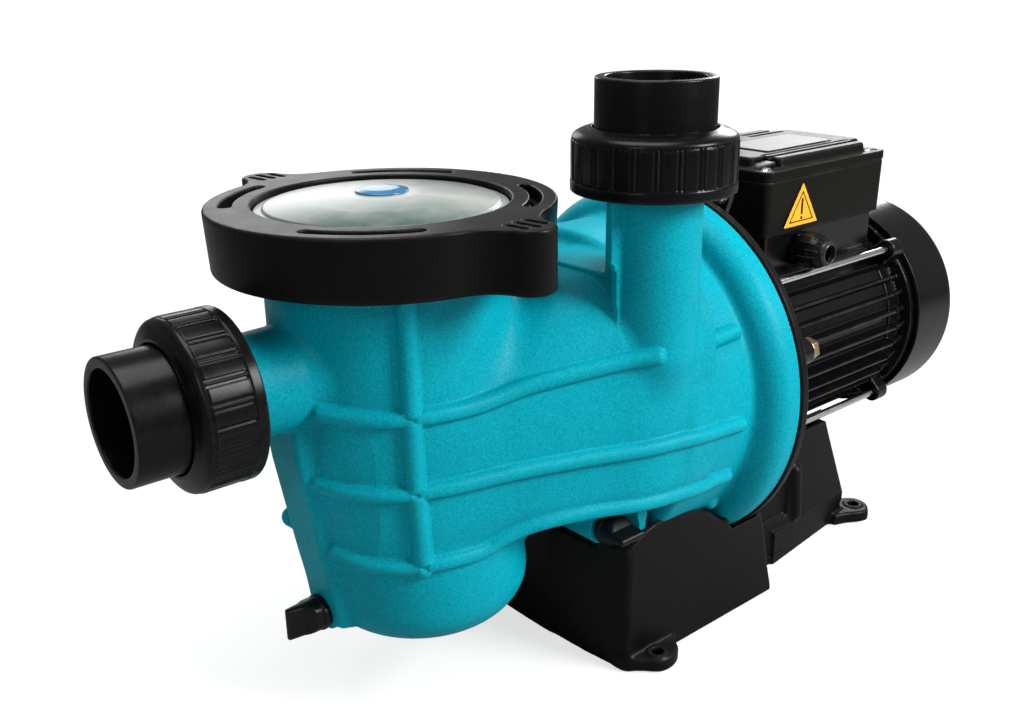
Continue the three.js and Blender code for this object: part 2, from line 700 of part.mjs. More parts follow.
function rotorCore() {
  return turnedX([
    [62, 10.4], [62, 26], [66, 26], [66, 31.6], [156, 31.6], [156, 26], [160, 26], [160, 10.4],
  ], 36);
}
// winding overhang; inward is the X direction from its free end to the stator core
function winding(endX, inward) {
  const coreX = endX + 15.6 * inward;
  return turnedX([
    [endX, 36], [endX, 48], [endX + 3 * inward, 51], [coreX, 51], [coreX, 36],
  ], 32);
}

// rear end shield with ears for the tie rods and a spigot for the fan cover
function rearEndShield() {
  const shield = turnedX([
    [178.3, 60], [178.3, 70], [191, 70], [191, 72], [201, 72], [201, 69], [189, 26], [189, 11],
    [187, 11], [187, 18.8], [174, 18.8], [174, 24], [184, 60],
  ], 48);
  return cut(
    join(shield, ...rodEars([178.3, 190], [62, 82])),
    ...atRods(ROD_HOLE_R, [170, 200], 8),
  );
}

function coolingFan() {
  return join(
    tubeX([6.7, 14], [204, 222], 28),
    tubeX([12, 50], [204, 206], 36),
    ...around(9).map((degrees) => radialBoxX([204.5, 222], [12, 62], 2, degrees)),
  );
}
function fanCover() {
  const cover = turnedX([
    [COVER_X0, COVER_R - COVER_WALL], [COVER_X0, COVER_R], [COVER_X1 - 8, COVER_R],
    [COVER_X1 - 3, COVER_R - 2.2], [COVER_X1 - 0.6, COVER_R - 6], [COVER_X1, COVER_R - 10],
    [COVER_X1, 0], [COVER_X1 - COVER_WALL, 0], [COVER_X1 - COVER_WALL, COVER_R - 11],
    [COVER_X1 - 4, COVER_R - 4.4], [COVER_X1 - 8.6, COVER_R - COVER_WALL],
  ], 56);
  return cut(cover, ...around(12).map((degrees) =>
    radialBoxX([COVER_X1 - 6, COVER_X1 + 4], [18, 58], 5, degrees)));
}

addOnShaft("diffuser", diffuser(), "noryl");
addOnShaft("impeller", impeller(), "noryl");
addOnShaft("impeller_nut", impellerNut(), "steel");
addOnShaft("seal_rotating", rotatingSeal(), "carbon");
addOnShaft("seal_seat", tubeX([9, 15.6], [-40, -30.4], 32), "ceramic");
addOnShaft("motor_shaft", motorShaft(), "steel");
addOnShaft("seal_plate", sealPlate(), "black_plastic");
addOnShaft("casing_oring", tubeX([96.4, 100.2], [-3.9, -0.4], 56), "rubber");
addOnShaft("motor_bracket", motorBracket(), "motor_paint");
addHeaded("casing_bolt_", atBolts(3.9, [-9.4, 19], 8), atBolts(7.2, [18.3, 24.5], 6), "brass");
addBearing("front", 29);
addBearing("rear", 174.5);
addOnShaft("rotor_core", rotorCore(), "lamination");
addOnShaft("stator_core", tubeX([33.2, 54.2], [66, 156], 40), "lamination");
addOnShaft("stator_winding_front", winding(50, 1), "copper");
addOnShaft("stator_winding_rear", winding(172, -1), "copper");
addOnShaft("rear_end_shield", rearEndShield(), "motor_paint");
addHeaded("tie_rod_", atRods(ROD_R, [36, 194], 8), atRods(4.4, [190.4, 193], 6), "steel");
addOnShaft("cooling_fan", coolingFan(), "black_plastic");
addOnShaft("fan_cover", fanCover(), "black_plastic");

// ---- motor frame with fins and terminal box pedestal --------------------
function frameFins() {
  return around(360 / FIN_PITCH)
    .filter((degrees) => Math.abs(degrees - 90) >= 33) // none under the pedestal
    .map((degrees) => {
      const nearRod = ROD_ANGLES.some((rod) => Math.abs(degrees - rod) < 5.1);
      const radii = [FRAME_BODY_R - 1, nearRod ? FRAME_TIP_R - 3 : FRAME_TIP_R];
      return radialBoxX([FRAME_X0 + 2, FRAME_X1 - 2], radii, FIN_THICKNESS, degrees, SHAFT_Z);
    });
}
function motorFrame() {
  const shell = tube([FRAME_BORE_R, FRAME_BODY_R], [FRAME_X0, FRAME_X1], 72, "+X", SHAFT_CENTRE);
  const half = PEDESTAL_HALF_Y;
  const topZ = BOX_Z0 - GAP;
  const pedestal = prismX(
    [[-half, 200], [-half, topZ], [half, topZ], [half, 200], [30, 192], [-30, 192]], 52, 170);
  return cut(
    join(shell, ...frameFins(), pedestal),
    box([60, 162], [-38, 38], [207.5, 240]),
    bar(FRAME_BORE_R, [FRAME_X0 - 5, FRAME_X1 + 5], 72, "+X", SHAFT_CENTRE),
    bar(8.4, [30, 50], 20, "-Y", GLAND),
    bar(WIRE_HOLE_R, [195, 240], 20, "+Z", WIRE_HOLE),
  );
}
add("motor_frame", motorFrame(), "motor_paint");

// ---- terminal box -------------------------------------------------------
const BOX_CHAMFER = 7;
const BOX_LID_Z = BOX_Z1 + GAP;
const SCREW_INSET = 8.5;
const BOX_CORNERS = [[0, 0], [1, 0], [1, 1], [0, 1]].map(([atX1, atPlusY]) => [
  atX1 ? BOX_X1 - SCREW_INSET : BOX_X0 + SCREW_INSET,
  (atPlusY ? 1 : -1) * (BOX_HALF_Y - SCREW_INSET),
  0,
]);
const atCorners = (radius, span, segments) => BOX_CORNERS.map((corner) =>
  bar(radius, span, segments, "+Z", corner));

// rectangle with cut corners, inset from the box walls
function boxOutline(inset, chamfer) {
  const [x0, x1, y] = [BOX_X0 + inset, BOX_X1 - inset, BOX_HALF_Y - inset];
  return [
    [x0 + chamfer, -y], [x1 - chamfer, -y], [x1, -y + chamfer], [x1, y - chamfer],
    [x1 - chamfer, y], [x0 + chamfer, y], [x0, y - chamfer], [x0, -y + chamfer],
  ];
}
// stations: [inset, height over the lid's lower edge]
function boxLoft(stations) {
  return loft(stations.map(([inset, height]) =>
    boxOutline(inset, 5).map(([x, y]) => [x, y, BOX_LID_Z + height])));
}

function terminalBox() {
  const tray = cut(
    prismZ(boxOutline(0, BOX_CHAMFER), BOX_Z0, BOX_Z1),
    prismZ(boxOutline(3, BOX_CHAMFER), BOX_Z0 + 3, BOX_Z1 + 2),
  );
  return cut(
    join(tray, ...atCorners(5.6, [BOX_Z0 + 1, BOX_Z1], 16)),
    ...atCorners(2.2, [BOX_Z0 + 8, BOX_Z1 + 2], 12),
    bar(WIRE_HOLE_R, [BOX_Z0 - 3, BOX_Z0 + 6], 20, "+Z", WIRE_HOLE),
  );
}
function terminalBoxLid() {
  const z = BOX_LID_Z;
  const screwHoles = atCorners(2.7, [z - 2, z + 8], 12);
  const shell = cut(
    join(
      prismZ(boxOutline(-0.3, BOX_CHAMFER), z, z + 6),
      boxLoft([[5.5, 5], [6.5, 11.4], [8, 12.6]]),
    ),
    ...atCorners(6.2, [z + 4.6, z + 20], 20),
    ...screwHoles,
    prismZ(boxOutline(3, BOX_CHAMFER), z - 1, z + 3),
    boxLoft([[9, 2], [10, 9]]),
  );
  return cut(join(shell, ...atCorners(5, [z, z + 3.5], 16)), ...screwHoles);
}
function lidScrew(corner) {
  const z = BOX_LID_Z;
  const head = [[z + 4.9, 0], [z + 4.9, 4.2], [z + 7.4, 3], [z + 7.6, 0]];
  return join(
    bar(1.9, [BOX_Z1 - 12, z + 5.2], 8, "+Z", corner),
    turned(head, 18, "+Z", corner),
  );
}
function capacitor() {
  const centre = [0, 20, BOX_Z0 + 17];
  return join(bar(13, [62, 146], 28, "+X", centre), bar(10, [146, 149], 20, "+X", centre));
}
function terminalBlock() {
  return cut(
    box([70, 128], [-34, -8], [BOX_Z0 + 3.3, BOX_Z0 + 17]),
    ...[78, 92, 106, 120].map((x) => bar(3, [BOX_Z0 + 10, BOX_Z0 + 20], 14, "+Z", [x, -21, 0])),
  );
}
// cable gland on the -Y side of the pedestal
function glandBody() {
  return cut(
    join(
      bar(12.2, [PEDESTAL_HALF_Y + GAP, 49.5], 6, "-Y", GLAND),
      bar(7.6, [39, 61], 24, "-Y", GLAND),
    ),
    bar(5.2, [30, 70], 20, "-Y", GLAND),
  );
}
function glandNut() {
  const dome = turned([
    [50.1, 8.1], [50.1, 11.4], [59, 11.4], [64.5, 9.6], [67, 7], [67, 5.4], [62, 5.4],
    [61.6, 8.1],
  ], 24, "-Y", GLAND);
  const hexagon = bar(12.2, [50.1, 56], 6, "-Y", GLAND);
  return join(dome, cut(hexagon, bar(9, [45, 60], 24, "-Y", GLAND)));
}
function hazardLabel() {
  const triangle = [[64.6, 233.2], [99.4, 233.2], [82, 260.2]];
  return prismY(triangle, -BOX_HALF_Y - 0.8, -BOX_HALF_Y - GAP);
}

const ratingPlate = box([76, 146], [-24, 12], [BOX_LID_Z + 12.9, BOX_LID_Z + 13.5]);
add("terminal_box", terminalBox(), "box_plastic");
add("terminal_box_lid", terminalBoxLid(), "box_plastic");
add("rating_plate", ratingPlate, "plate");
BOX_CORNERS.forEach((corner, i) => add("box_lid_screw_" + (i + 1), lidScrew(corner), "steel"));
add("capacitor", capacitor(), "white_plastic");
add("terminal_block", terminalBlock(), "noryl");
add("cable_gland_body", glandBody(), "black_plastic");
add("cable_gland_nut", glandNut(), "black_plastic");
add("hazard_label", hazardLabel(), "yellow");

// ---- base ---------------------------------------------------------------
// Half plans of the front block on the +Y side: [x, y], from rear to front
const BLOCK_OUTSIDE = [[34, BASE_HALF_Y], [-104, BASE_HALF_Y], [-108.5, 50], [-110.5, 20]];
const BLOCK_INSIDE = [
  [30, BASE_HALF_Y - 4], [-100, BASE_HALF_Y - 4], [-104.4, 50], [-106.4, 20],
];
// Side views: [x, z]
const BLOCK_SIDE = [
  [-120, -1], [36, -1], [18, 62], [13, 70], [-21, 70.6], [-27, 77], [-34, 82], [-50, 87.5],
  [-75, 90.5], [-90, 88], [-104, 80], [-113, 79],
];
const REAR_SIDE = [[24, 0], [152, 0], [149, 24], [114, 98], [66, 98], [40, 40], [24, 24]];
const REAR_HOLLOW = [[20, 6], [146, 6], [143, 24], [108, 110], [70, 110], [44, 40], [20, 24]];

function mirrored(halfPlan) {
  return [...halfPlan, ...halfPlan.map(([x, y]) => [x, -y]).reverse()];
}

// hollow block under the casing, with two cross webs
function frontBlock() {
  const web = (x0, x1) => box([x0, x1], [-BASE_HALF_Y + 2, BASE_HALF_Y - 2], [2, 60]);
  const tub = cut(
    prismZ(mirrored(BLOCK_OUTSIDE), 0, 100),
    prismZ(mirrored(BLOCK_INSIDE), 6, 110),
  );
  const sided = tub.intersect(prismY(BLOCK_SIDE, -BASE_HALF_Y - 5, BASE_HALF_Y + 5));
  // open front and rear ends between the side walls
  const open = cut(
    sided,
    box([-130, -90], [-58, 58], [50, 110]),
    box([22, 60], [-74, 74], [20, 110]),
  );
  return join(open, web(-88, -84), web(-14, -10));
}

// hollow pedestal under the motor, narrower towards the rear at floor level
function rearPedestal() {
  const half = REAR_HALF_Y;
  const shell = join(
    cut(prismY(REAR_SIDE, -half, half), prismY(REAR_HOLLOW, -57.5, 57.5)),
    box([104, 108], [-58, 58], [4, 64]),
    box([72, 76], [-58, 58], [4, 64]),
    box([28, 152], [-half, half], [0, 6]),
  );
  const taper = prismZ(mirrored([[20, half], [60, half], [152, 52]]), -1, 120);
  return shell.intersect(taper.add(box([60, 118], [-half, half], [24, 120])));
}

// Feet; side is -1 or 1, y values are distances from the centre plane.
// web: [x span, y span, height] of the block that ties the foot in
const FEET = [
  { x: -81, y: 84.5, radius: 12.5, innerY: 60, web: [[-93.5, -68.5], [70, 80], 20],
    holeY: 87.5, holeR: 4.6 },
  { x: 163, y: 57, radius: 11.5, innerY: 40, web: [[140, 163], [40, 65], 9],
    holeY: 58, holeR: 4.4 },
];
function sideBox(side, spanX, spanY, height) {
  const span = spanY.map((y) => side * y).sort((a, b) => a - b);
  return box(spanX, span, [0, height]);
}
function foot(side, { x, y, radius, innerY, web }) {
  return join(
    bar(radius, [0, 9], 24, "+Z", [x, side * y, 0]),
    sideBox(side, [x - radius, x + radius], [innerY, y], 9),
    sideBox(side, ...web),
  );
}
function footHole(side, { x, holeY, holeR }) {
  return bar(holeR, [-2, 30], 20, "+Z", [x, side * holeY, 0]);
}

// room for casing, plate, bracket and motor
function motorClearance() {
  const finR = FRAME_TIP_R + 3;
  return turned([
    [-100, 0], [-100, VOLUTE_R + 0.8], [-30, VOLUTE_R + 0.8], [-22, 97], [-16, FLANGE_R],
    [-12, PLATE_R + 1.2], [12, PLATE_R + 1.2], [12, 116.5], [27, 116.5], [27, 92], [40, 86],
    [50, 84], [50, finR], [190, finR], [190, 0],
  ], 72, "+X", SHAFT_CENTRE);
}

function base() {
  const onBothSides = (build) => [-1, 1].flatMap((side) => FEET.map((spec) => build(side, spec)));
  const lowerRods = ROD_ANGLES.filter((degrees) => degrees > 180);
  return cut(
    join(frontBlock(), rearPedestal(), ...onBothSides(foot)),
    ...onBothSides(footHole),
    motorClearance(),
    ...lowerRods.map((degrees) =>
      bar(ROD_R + 2.5, [40, 190], 16, "+X", aboutShaft(ROD_CIRCLE_R, degrees, SHAFT_Z))),
    bar(13, [-90, 26], 24, "-Y", VOLUTE_DRAIN),
    box([-140, -60], [-40, 40], [58, 110]),
  );
}
add("base", base(), "black_plastic");

export default pump;
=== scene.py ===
# Electric water pump with a strainer pot, standing on a moulded base.
# The motor shaft runs along X at height SHAFT_Z: the pot and suction port are at the -X
# end, the fan cover at the +X end. The discharge port and the terminal box face +Z.
# "Near" is the -Y side, which the camera sees, and "far" is +Y. The feet stand on z = 0.
# Shapes are worked out in millimetres and turned into metres when a mesh is made.
import math
from concurrent.futures import ThreadPoolExecutor
from functools import reduce

import bmesh
import bpy
import numpy as np
from mathutils import Matrix, Vector

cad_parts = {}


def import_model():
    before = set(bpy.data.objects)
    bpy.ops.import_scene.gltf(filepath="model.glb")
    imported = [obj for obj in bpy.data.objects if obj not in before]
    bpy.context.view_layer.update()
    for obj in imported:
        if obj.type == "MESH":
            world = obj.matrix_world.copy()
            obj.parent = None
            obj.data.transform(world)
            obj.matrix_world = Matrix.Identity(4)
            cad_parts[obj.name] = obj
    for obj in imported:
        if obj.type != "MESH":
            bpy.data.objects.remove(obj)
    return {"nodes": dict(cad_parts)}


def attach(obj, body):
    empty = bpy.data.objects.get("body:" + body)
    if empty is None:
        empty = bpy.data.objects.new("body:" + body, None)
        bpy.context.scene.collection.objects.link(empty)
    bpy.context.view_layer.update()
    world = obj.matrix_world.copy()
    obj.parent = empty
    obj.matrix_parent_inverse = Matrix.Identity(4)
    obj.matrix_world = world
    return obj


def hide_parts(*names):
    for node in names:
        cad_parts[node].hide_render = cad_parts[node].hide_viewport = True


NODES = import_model()["nodes"]
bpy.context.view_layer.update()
F = np.float32
MM = 0.001
rad = math.radians
POOL = ThreadPoolExecutor(4)

# Driving sizes, in millimetres and degrees
SHAFT_Z = 147.4
SHAFT = (0, 0, SHAFT_Z)
POT_X = -203.0                      # axis of the strainer pot
POT = (POT_X, 0, 0)
LID_Z = 272.3                       # top of the pot collar, where the lid sits
SUCTION_END, SUCTION_Z = -352.3, 204.0
RISER_X, RISER_Y, RISER_TOP = -92.5, -80.5, 340.3
UNION_DEPTH = 36                    # from a union's outer end to its sealing face
SUCTION_SEAT = SUCTION_END + UNION_DEPTH
RISER_SEAT = RISER_TOP - UNION_DEPTH
POT_DRAIN = (-254.0, 0.0, 67.5)     # outer faces of the drain bosses
VOLUTE_DRAIN = (-113.0, -70.0, 96.0)
BOLT_CIRCLE, BOLT_START = 106.5, 44.0
GLAND_X, GLAND_Z = 87, 216.8
LUG_ANGLES = (-82, -82 + 180)       # lid ring lugs


def ring_of(count, radius, start):
    """(y, z) of points spaced evenly round the shaft"""
    angles = [rad(start + i * 360 / count) for i in range(count)]
    return [(radius * math.cos(a), SHAFT_Z + radius * math.sin(a)) for a in angles]


BOLTS = ring_of(6, BOLT_CIRCLE, BOLT_START)
RODS = ring_of(4, 76, 45)


# =========================================================================
# Distance fields: each takes x, y, z arrays in millimetres and returns the
# signed distance, negative inside.
# =========================================================================
def join(*shapes):
    return reduce(np.minimum, shapes)


def overlap(*shapes):
    return reduce(np.maximum, shapes)


def blend(first, second, width):
    """union with a soft fillet"""
    near = np.maximum(width - np.abs(first - second), 0) / width
    return np.minimum(first, second) - near * near * (width * 0.25)


def blend_overlap(first, second, width):
    return -blend(-first, -second, width)


def cut(shape, tool, width=0):
    """shape less tool, with a soft edge if a width is given"""
    if width:
        return -blend(-shape, tool, width)
    return np.maximum(shape, -tool)


def length(*parts):
    return np.sqrt(sum(part * part for part in parts))


def slab(value, low, high):
    """distance to the range low..high of one coordinate"""
    return np.abs(value - (low + high) / 2) - (high - low) / 2


def quarter(first, second):
    """distance to the quarter plane where both values are negative"""
    outside = length(np.maximum(first, 0), np.maximum(second, 0))
    return outside + np.minimum(np.maximum(first, second), 0)


def corner(first, second, radius):
    """overlap of two half spaces with a rounded edge"""
    if radius <= 0:
        return np.maximum(first, second)
    return quarter(first + radius, second + radius) - radius


def box(x, y, z, low, high, radius=0.0):
    gaps = [np.abs(value - (a + b) / 2) - ((b - a) / 2 - radius)
            for value, a, b in zip((x, y, z), low, high)]
    return length(*[np.maximum(gap, 0) for gap in gaps]) + np.minimum(overlap(*gaps), 0) - radius


def split(axis, x, y, z, at):
    """coordinate along an axis and the two across it, measured from a point on it"""
    x, y, z = x - at[0], y - at[1], z - at[2]
    return {"x": (x, y, z), "y": (y, z, x), "z": (z, x, y)}[axis]


def cyl(axis, x, y, z, at, radius, start, end, edge=0.0):
    along, *across = split(axis, x, y, z, at)
    return corner(length(*across) - radius, slab(along, start, end), edge)


def cone(axis, x, y, z, at, stations, radii, edge=0.0):
    """body of revolution whose radius follows a table with rising stations"""
    along, *across = split(axis, x, y, z, at)
    stations, radii = np.array(stations, float), np.array(radii, float)
    if len(stations) > 2:
        slopes = np.gradient(radii, stations)
    else:
        slopes = np.full(2, (radii[-1] - radii[0]) / (stations[-1] - stations[0]))
    slope = lookup(along, stations, slopes)
    side = (length(*across) - lookup(along, stations, radii)) / np.sqrt(1 + slope * slope)
    return corner(side, slab(along, stations[0], stations[-1]), edge)


def rod(x, y, z, start, end, radius, end_radius=None):
    """round-ended bar, tapering if an end radius is given"""
    end_radius = radius if end_radius is None else end_radius
    start = np.array(start, float)
    run = np.array(end, float) - start
    px, py, pz = x - start[0], y - start[1], z - start[2]
    share = (px * run[0] + py * run[1] + pz * run[2]) / float(run @ run)
    share = np.clip(share, 0, 1)
    away = length(px - share * run[0], py - share * run[1], pz - share * run[2])
    return away - (radius + (end_radius - radius) * share)


def bar_along(x, y, z, points, radius):
    """round bar along a polyline; far points get a cheap lower bound"""
    far = box(x, y, z, points.min(0) - radius, points.max(0) + radius)
    shape = far + 12
    near = np.nonzero(far < 14)[0]
    if len(near):
        here = x[near], y[near], z[near]
        closest = np.full(len(near), 1e9, F)
        for start, end in zip(points[:-1], points[1:]):
            closest = np.minimum(closest, rod(*here, start, end, radius))
        shape[near] = np.minimum(closest, 26)
    return shape


def polygon(across, up, points):
    """signed distance to a closed polygon in a plane"""
    points = np.array(points, float)
    nearest = np.full(across.shape, 1e12, F)
    inside = np.zeros(across.shape, bool)
    for i, start in enumerate(points):
        end = points[(i + 1) % len(points)]
        edge = end - start
        du, dv = across - start[0], up - start[1]
        share = np.clip((du * edge[0] + dv * edge[1]) / max(float(edge @ edge), 1e-9), 0, 1)
        gap = (du - edge[0] * share) ** 2 + (dv - edge[1] * share) ** 2
        nearest = np.minimum(nearest, gap)
        if edge[1] != 0:
            crossed = (start[1] > up) != (end[1] > up)
            inside ^= crossed & (across < edge[0] * (up - start[1]) / edge[1] + start[0])
    nearest = np.sqrt(nearest)
    return np.where(inside, -nearest, nearest)


def long_hole(along, across, start, end, radius):
    """slot with round ends"""
    return length(np.maximum(slab(along, start, end) + radius, 0), across) - radius


def hexagon(first, second, flats):
    first, second = np.abs(first), np.abs(second)
    return np.maximum(first * 0.8660254 + second * 0.5, second) - flats / 2


def thread(x, y, z, pitch, slope):
    """amount by which a thread groove lowers a shank along Z"""
    turn = (z + np.arctan2(y, x) / (2 * math.pi) * pitch) % pitch
    return np.abs(turn - pitch / 2) * slope


def lookup(value, stations, values):
    return np.interp(value, stations, values).astype(F)


def table(stations, values, soften, step=0.5):
    """smooth lookup through a table of values"""
    reach = np.arange(-3 * soften, 3 * soften + step, step)
    grid = np.arange(stations[0] - 4 * soften, stations[-1] + 4 * soften + step, step)
    kernel = np.exp(-0.5 * (reach / soften) ** 2)
    kernel /= kernel.sum()
    pad = len(kernel) // 2
    raw = np.pad(np.interp(grid, stations, values), pad, mode="edge")
    smoothed = np.convolve(raw, kernel, mode="same")[pad:-pad]
    return lambda value: lookup(value, grid, smoothed)


def fold(angle, pitch, centre=0.0):
    """angle within a repeated sector; centre is the sector's middle, in pitches"""
    pitch = rad(pitch)
    return (angle + (0.5 - centre) * pitch) % pitch - pitch / 2


def sector(radius, angle):
    return radius * np.cos(angle), radius * np.sin(angle)


def degrees_from(angle, centre):
    return np.abs((angle - centre + 180) % 360 - 180)


def rotated(x, y, degrees):
    c, s = math.cos(rad(degrees)), math.sin(rad(degrees))
    return x * c + y * s, -x * s + y * c


def shaft_polar(y, z):
    """distance from the shaft axis and angle round it"""
    return length(y, z - SHAFT_Z), np.arctan2(z - SHAFT_Z, y)


def bores(shape, x, y, z, centres, radius, start, end):
    """holes along X at (y, z) centres"""
    for cy, cz in centres:
        shape = cut(shape, cyl("x", x, y, z, (0, cy, cz), radius, start, end))
    return shape


def tie_rod_ear(radius, angle, half, flat_end, centre):
    """outline of the ears that hold the tie rods"""
    along, across = sector(radius, fold(angle, 90, centre=0.5))
    ear = overlap(np.abs(across) - half, along - flat_end, 60 - along)
    return join(ear, length(along - centre, across) - half)


# =========================================================================
# Surface extraction: sparse grid, surface nets, then the points are moved
# onto the exact surface along the field's gradient.
# =========================================================================
BLOCK = 6       # grid cells along a block edge
CHUNK = 60000   # points worked out in one task


def evaluate(field, x, y, z):
    starts = range(0, len(x), CHUNK)
    parts = POOL.map(lambda i: np.asarray(
        field(x[i:i + CHUNK], y[i:i + CHUNK], z[i:i + CHUNK]), F), starts)
    return np.concatenate(list(parts))


def gradient(field, points, reach=0.12):
    """distance and unit normal, from four samples at the corners of a tetrahedron"""
    x, y, z = [column.astype(F) for column in points.T]
    normal = np.zeros(points.shape)
    total = np.zeros(len(points))
    for a, b, c in ((1, -1, -1), (-1, -1, 1), (-1, 1, -1), (1, 1, 1)):
        value = evaluate(field, x + F(reach * a), y + F(reach * b), z + F(reach * c)).astype(float)
        normal += value[:, None] * np.array([a, b, c])
        total += value
    size = np.linalg.norm(normal, axis=1)
    size[size < 1e-9] = 1
    return total / 4, normal / size[:, None]


def lattice(counts):
    axes = np.meshgrid(*[np.arange(count) for count in counts], indexing="ij")
    return np.stack(axes, -1).reshape(-1, 3)


def sample(field, low, high, spacing):
    """grid of distances, worked out only in the blocks near the surface"""
    blocks = np.maximum(np.ceil((high - low) / (spacing * BLOCK)).astype(int), 1)
    grid = np.full(tuple(blocks * BLOCK + 1), F(1e3))
    block = lattice(blocks)
    distance = evaluate(field, *(low + (block + 0.5) * BLOCK * spacing).astype(F).T)
    near = block[np.abs(distance) < BLOCK * spacing * 0.87 * 1.6]
    # blocks deep inside are filled so that they aren't taken for outside
    for i, j, k in block[distance < 0] * BLOCK:
        grid[i:i + BLOCK + 1, j:j + BLOCK + 1, k:k + BLOCK + 1] = -1e3
    offsets = lattice([BLOCK + 1] * 3)
    for start in range(0, len(near), 4000):
        index = (near[start:start + 4000, None, :] * BLOCK + offsets[None]).reshape(-1, 3)
        grid[tuple(index.T)] = evaluate(field, *(low + index * spacing).astype(F).T)
    return grid


def cell_points(grid, cells, spacing):
    """mean of the points where the surface crosses each cell's edges, in cell units"""
    corners = [(a, b, c) for a in (0, 1) for b in (0, 1) for c in (0, 1)]
    value = {at: np.clip(grid[tuple((cells + at).T)], -spacing * 3, spacing * 3)
             for at in corners}
    total = np.zeros((len(cells), 3))
    count = np.zeros(len(cells))
    for at in corners:
        for axis in range(3):
            if at[axis]:
                continue
            other = list(at)
            other[axis] = 1
            first, second = value[at], value[tuple(other)]
            crossed = (first < 0) != (second < 0)
            point = np.tile(np.array(at, float), (crossed.sum(), 1))
            point[:, axis] = first[crossed] / (first[crossed] - second[crossed])
            total[crossed] += point
            count[crossed] += 1
    return total / count[:, None]


def extract(field, low, high, spacing):
    """closed quad mesh of the zero level of a field, with the field's own normals"""
    low, high = np.array(low, float) - 2.5 * spacing, np.array(high, float) + 2.5 * spacing
    grid = sample(field, low, high, spacing)
    inside = grid < 0
    nx, ny, nz = size = grid.shape
    count = np.zeros((nx - 1, ny - 1, nz - 1), np.int8)
    for dx, dy, dz in lattice([2] * 3):
        count += inside[dx:nx - 1 + dx, dy:ny - 1 + dy, dz:nz - 1 + dz]
    active = (count > 0) & (count < 8)
    cells = np.argwhere(active)
    number = np.full(active.shape, -1, np.int64)
    number[active] = np.arange(len(cells))
    points = low + (cells + cell_points(grid, cells, spacing)) * spacing
    quads = []
    for axis in range(3):
        lower, upper = [slice(None)] * 3, [slice(None)] * 3
        lower[axis], upper[axis] = slice(0, size[axis] - 1), slice(1, size[axis])
        first, second = inside[tuple(lower)], inside[tuple(upper)]
        edges = np.argwhere(first != second)
        one, two = (axis + 1) % 3, (axis + 2) % 3
        edges = edges[(edges[:, one] > 0) & (edges[:, two] > 0)
                      & (edges[:, one] < size[one] - 1) & (edges[:, two] < size[two] - 1)]
        faces = []
        for step_one, step_two in ((-1, -1), (0, -1), (0, 0), (-1, 0)):
            cell = edges.copy()
            cell[:, one] += step_one
            cell[:, two] += step_two
            faces.append(number[tuple(cell.T)])
        faces = np.stack(faces, 1)
        flip = second[tuple(edges.T)]
        faces[flip] = faces[flip][:, ::-1]
        quads.append(faces)
    for _ in range(3):
        distance, normals = gradient(field, points)
        points = points - np.clip(distance, -0.7 * spacing, 0.7 * spacing)[:, None] * normals
    return points, np.concatenate(quads), gradient(field, points)[1]


# =========================================================================
# Mesh objects
# =========================================================================
def link_object(obj):
    bpy.context.scene.collection.objects.link(obj)
    return obj


def mesh_object(name, points, quads):
    mesh = bpy.data.meshes.new(name)
    count = len(quads)
    mesh.vertices.add(len(points))
    mesh.vertices.foreach_set("co", (np.asarray(points, float) * MM).astype(F).ravel())
    mesh.loops.add(count * 4)
    mesh.loops.foreach_set("vertex_index", quads.astype(np.int32).ravel())
    mesh.polygons.add(count)
    mesh.polygons.foreach_set("loop_start", np.arange(0, count * 4, 4, dtype=np.int32))
    mesh.polygons.foreach_set("loop_total", np.full(count, 4, np.int32))
    mesh.update(calc_edges=True)
    mesh.validate()
    return link_object(bpy.data.objects.new(name, mesh))


def shade_smooth(mesh):
    mesh.polygons.foreach_set("use_smooth", np.ones(len(mesh.polygons), bool))


def field_object(name, field, low, high, spacing):
    points, quads, normals = extract(field, low, high, spacing)
    obj = mesh_object(name, points, quads)
    shade_smooth(obj.data)
    obj.data.normals_split_custom_set_from_vertices([tuple(normal) for normal in normals])
    return obj


def fillet(profile, arc_steps):
    """closed profile of (along, radius[, rounding]) points with its corners rounded"""
    out = []
    for i, entry in enumerate(profile):
        point = np.array(entry[:2], float)
        if len(entry) < 3:
            out.append(tuple(point))
            continue
        back = np.array(profile[i - 1][:2], float) - point
        ahead = np.array(profile[(i + 1) % len(profile)][:2], float) - point
        back_length, ahead_length = np.linalg.norm(back), np.linalg.norm(ahead)
        back, ahead = back / back_length, ahead / ahead_length
        angle = math.acos(max(-1, min(1, float(back @ ahead))))
        if angle > math.pi - 0.02:
            out.append(tuple(point))
            continue
        trim = min(entry[2] / math.tan(angle / 2), back_length * 0.48, ahead_length * 0.48)
        radius = trim * math.tan(angle / 2)
        bisector = (back + ahead) / np.linalg.norm(back + ahead)
        centre = point + bisector * (radius / math.sin(angle / 2))
        start, end = point + back * trim - centre, point + ahead * trim - centre
        first = math.atan2(start[1], start[0])
        last = math.atan2(end[1], end[0])
        sweep = (last - first + math.pi) % (2 * math.pi) - math.pi
        count = max(int(arc_steps * abs(sweep) / (math.pi / 2)) + 1, 2)
        for j in range(count + 1):
            a = first + sweep * j / count
            out.append((centre[0] + radius * math.cos(a), centre[1] + radius * math.sin(a)))
    return out


def tidy(mesh, sharp):
    """joins doubled points, turns faces outward and marks edges sharper than an angle"""
    bm = bmesh.new()
    bm.from_mesh(mesh)
    bmesh.ops.remove_doubles(bm, verts=bm.verts, dist=1e-6)
    bmesh.ops.dissolve_degenerate(bm, edges=bm.edges, dist=1e-7)
    loose = [vert for vert in bm.verts if not vert.link_faces]
    if loose:
        bmesh.ops.delete(bm, geom=loose, context="VERTS")
    bmesh.ops.recalc_face_normals(bm, faces=bm.faces)
    bm.to_mesh(mesh)
    bm.free()
    shade_smooth(mesh)
    mesh.set_sharp_from_angle(angle=rad(sharp))
    mesh.update()


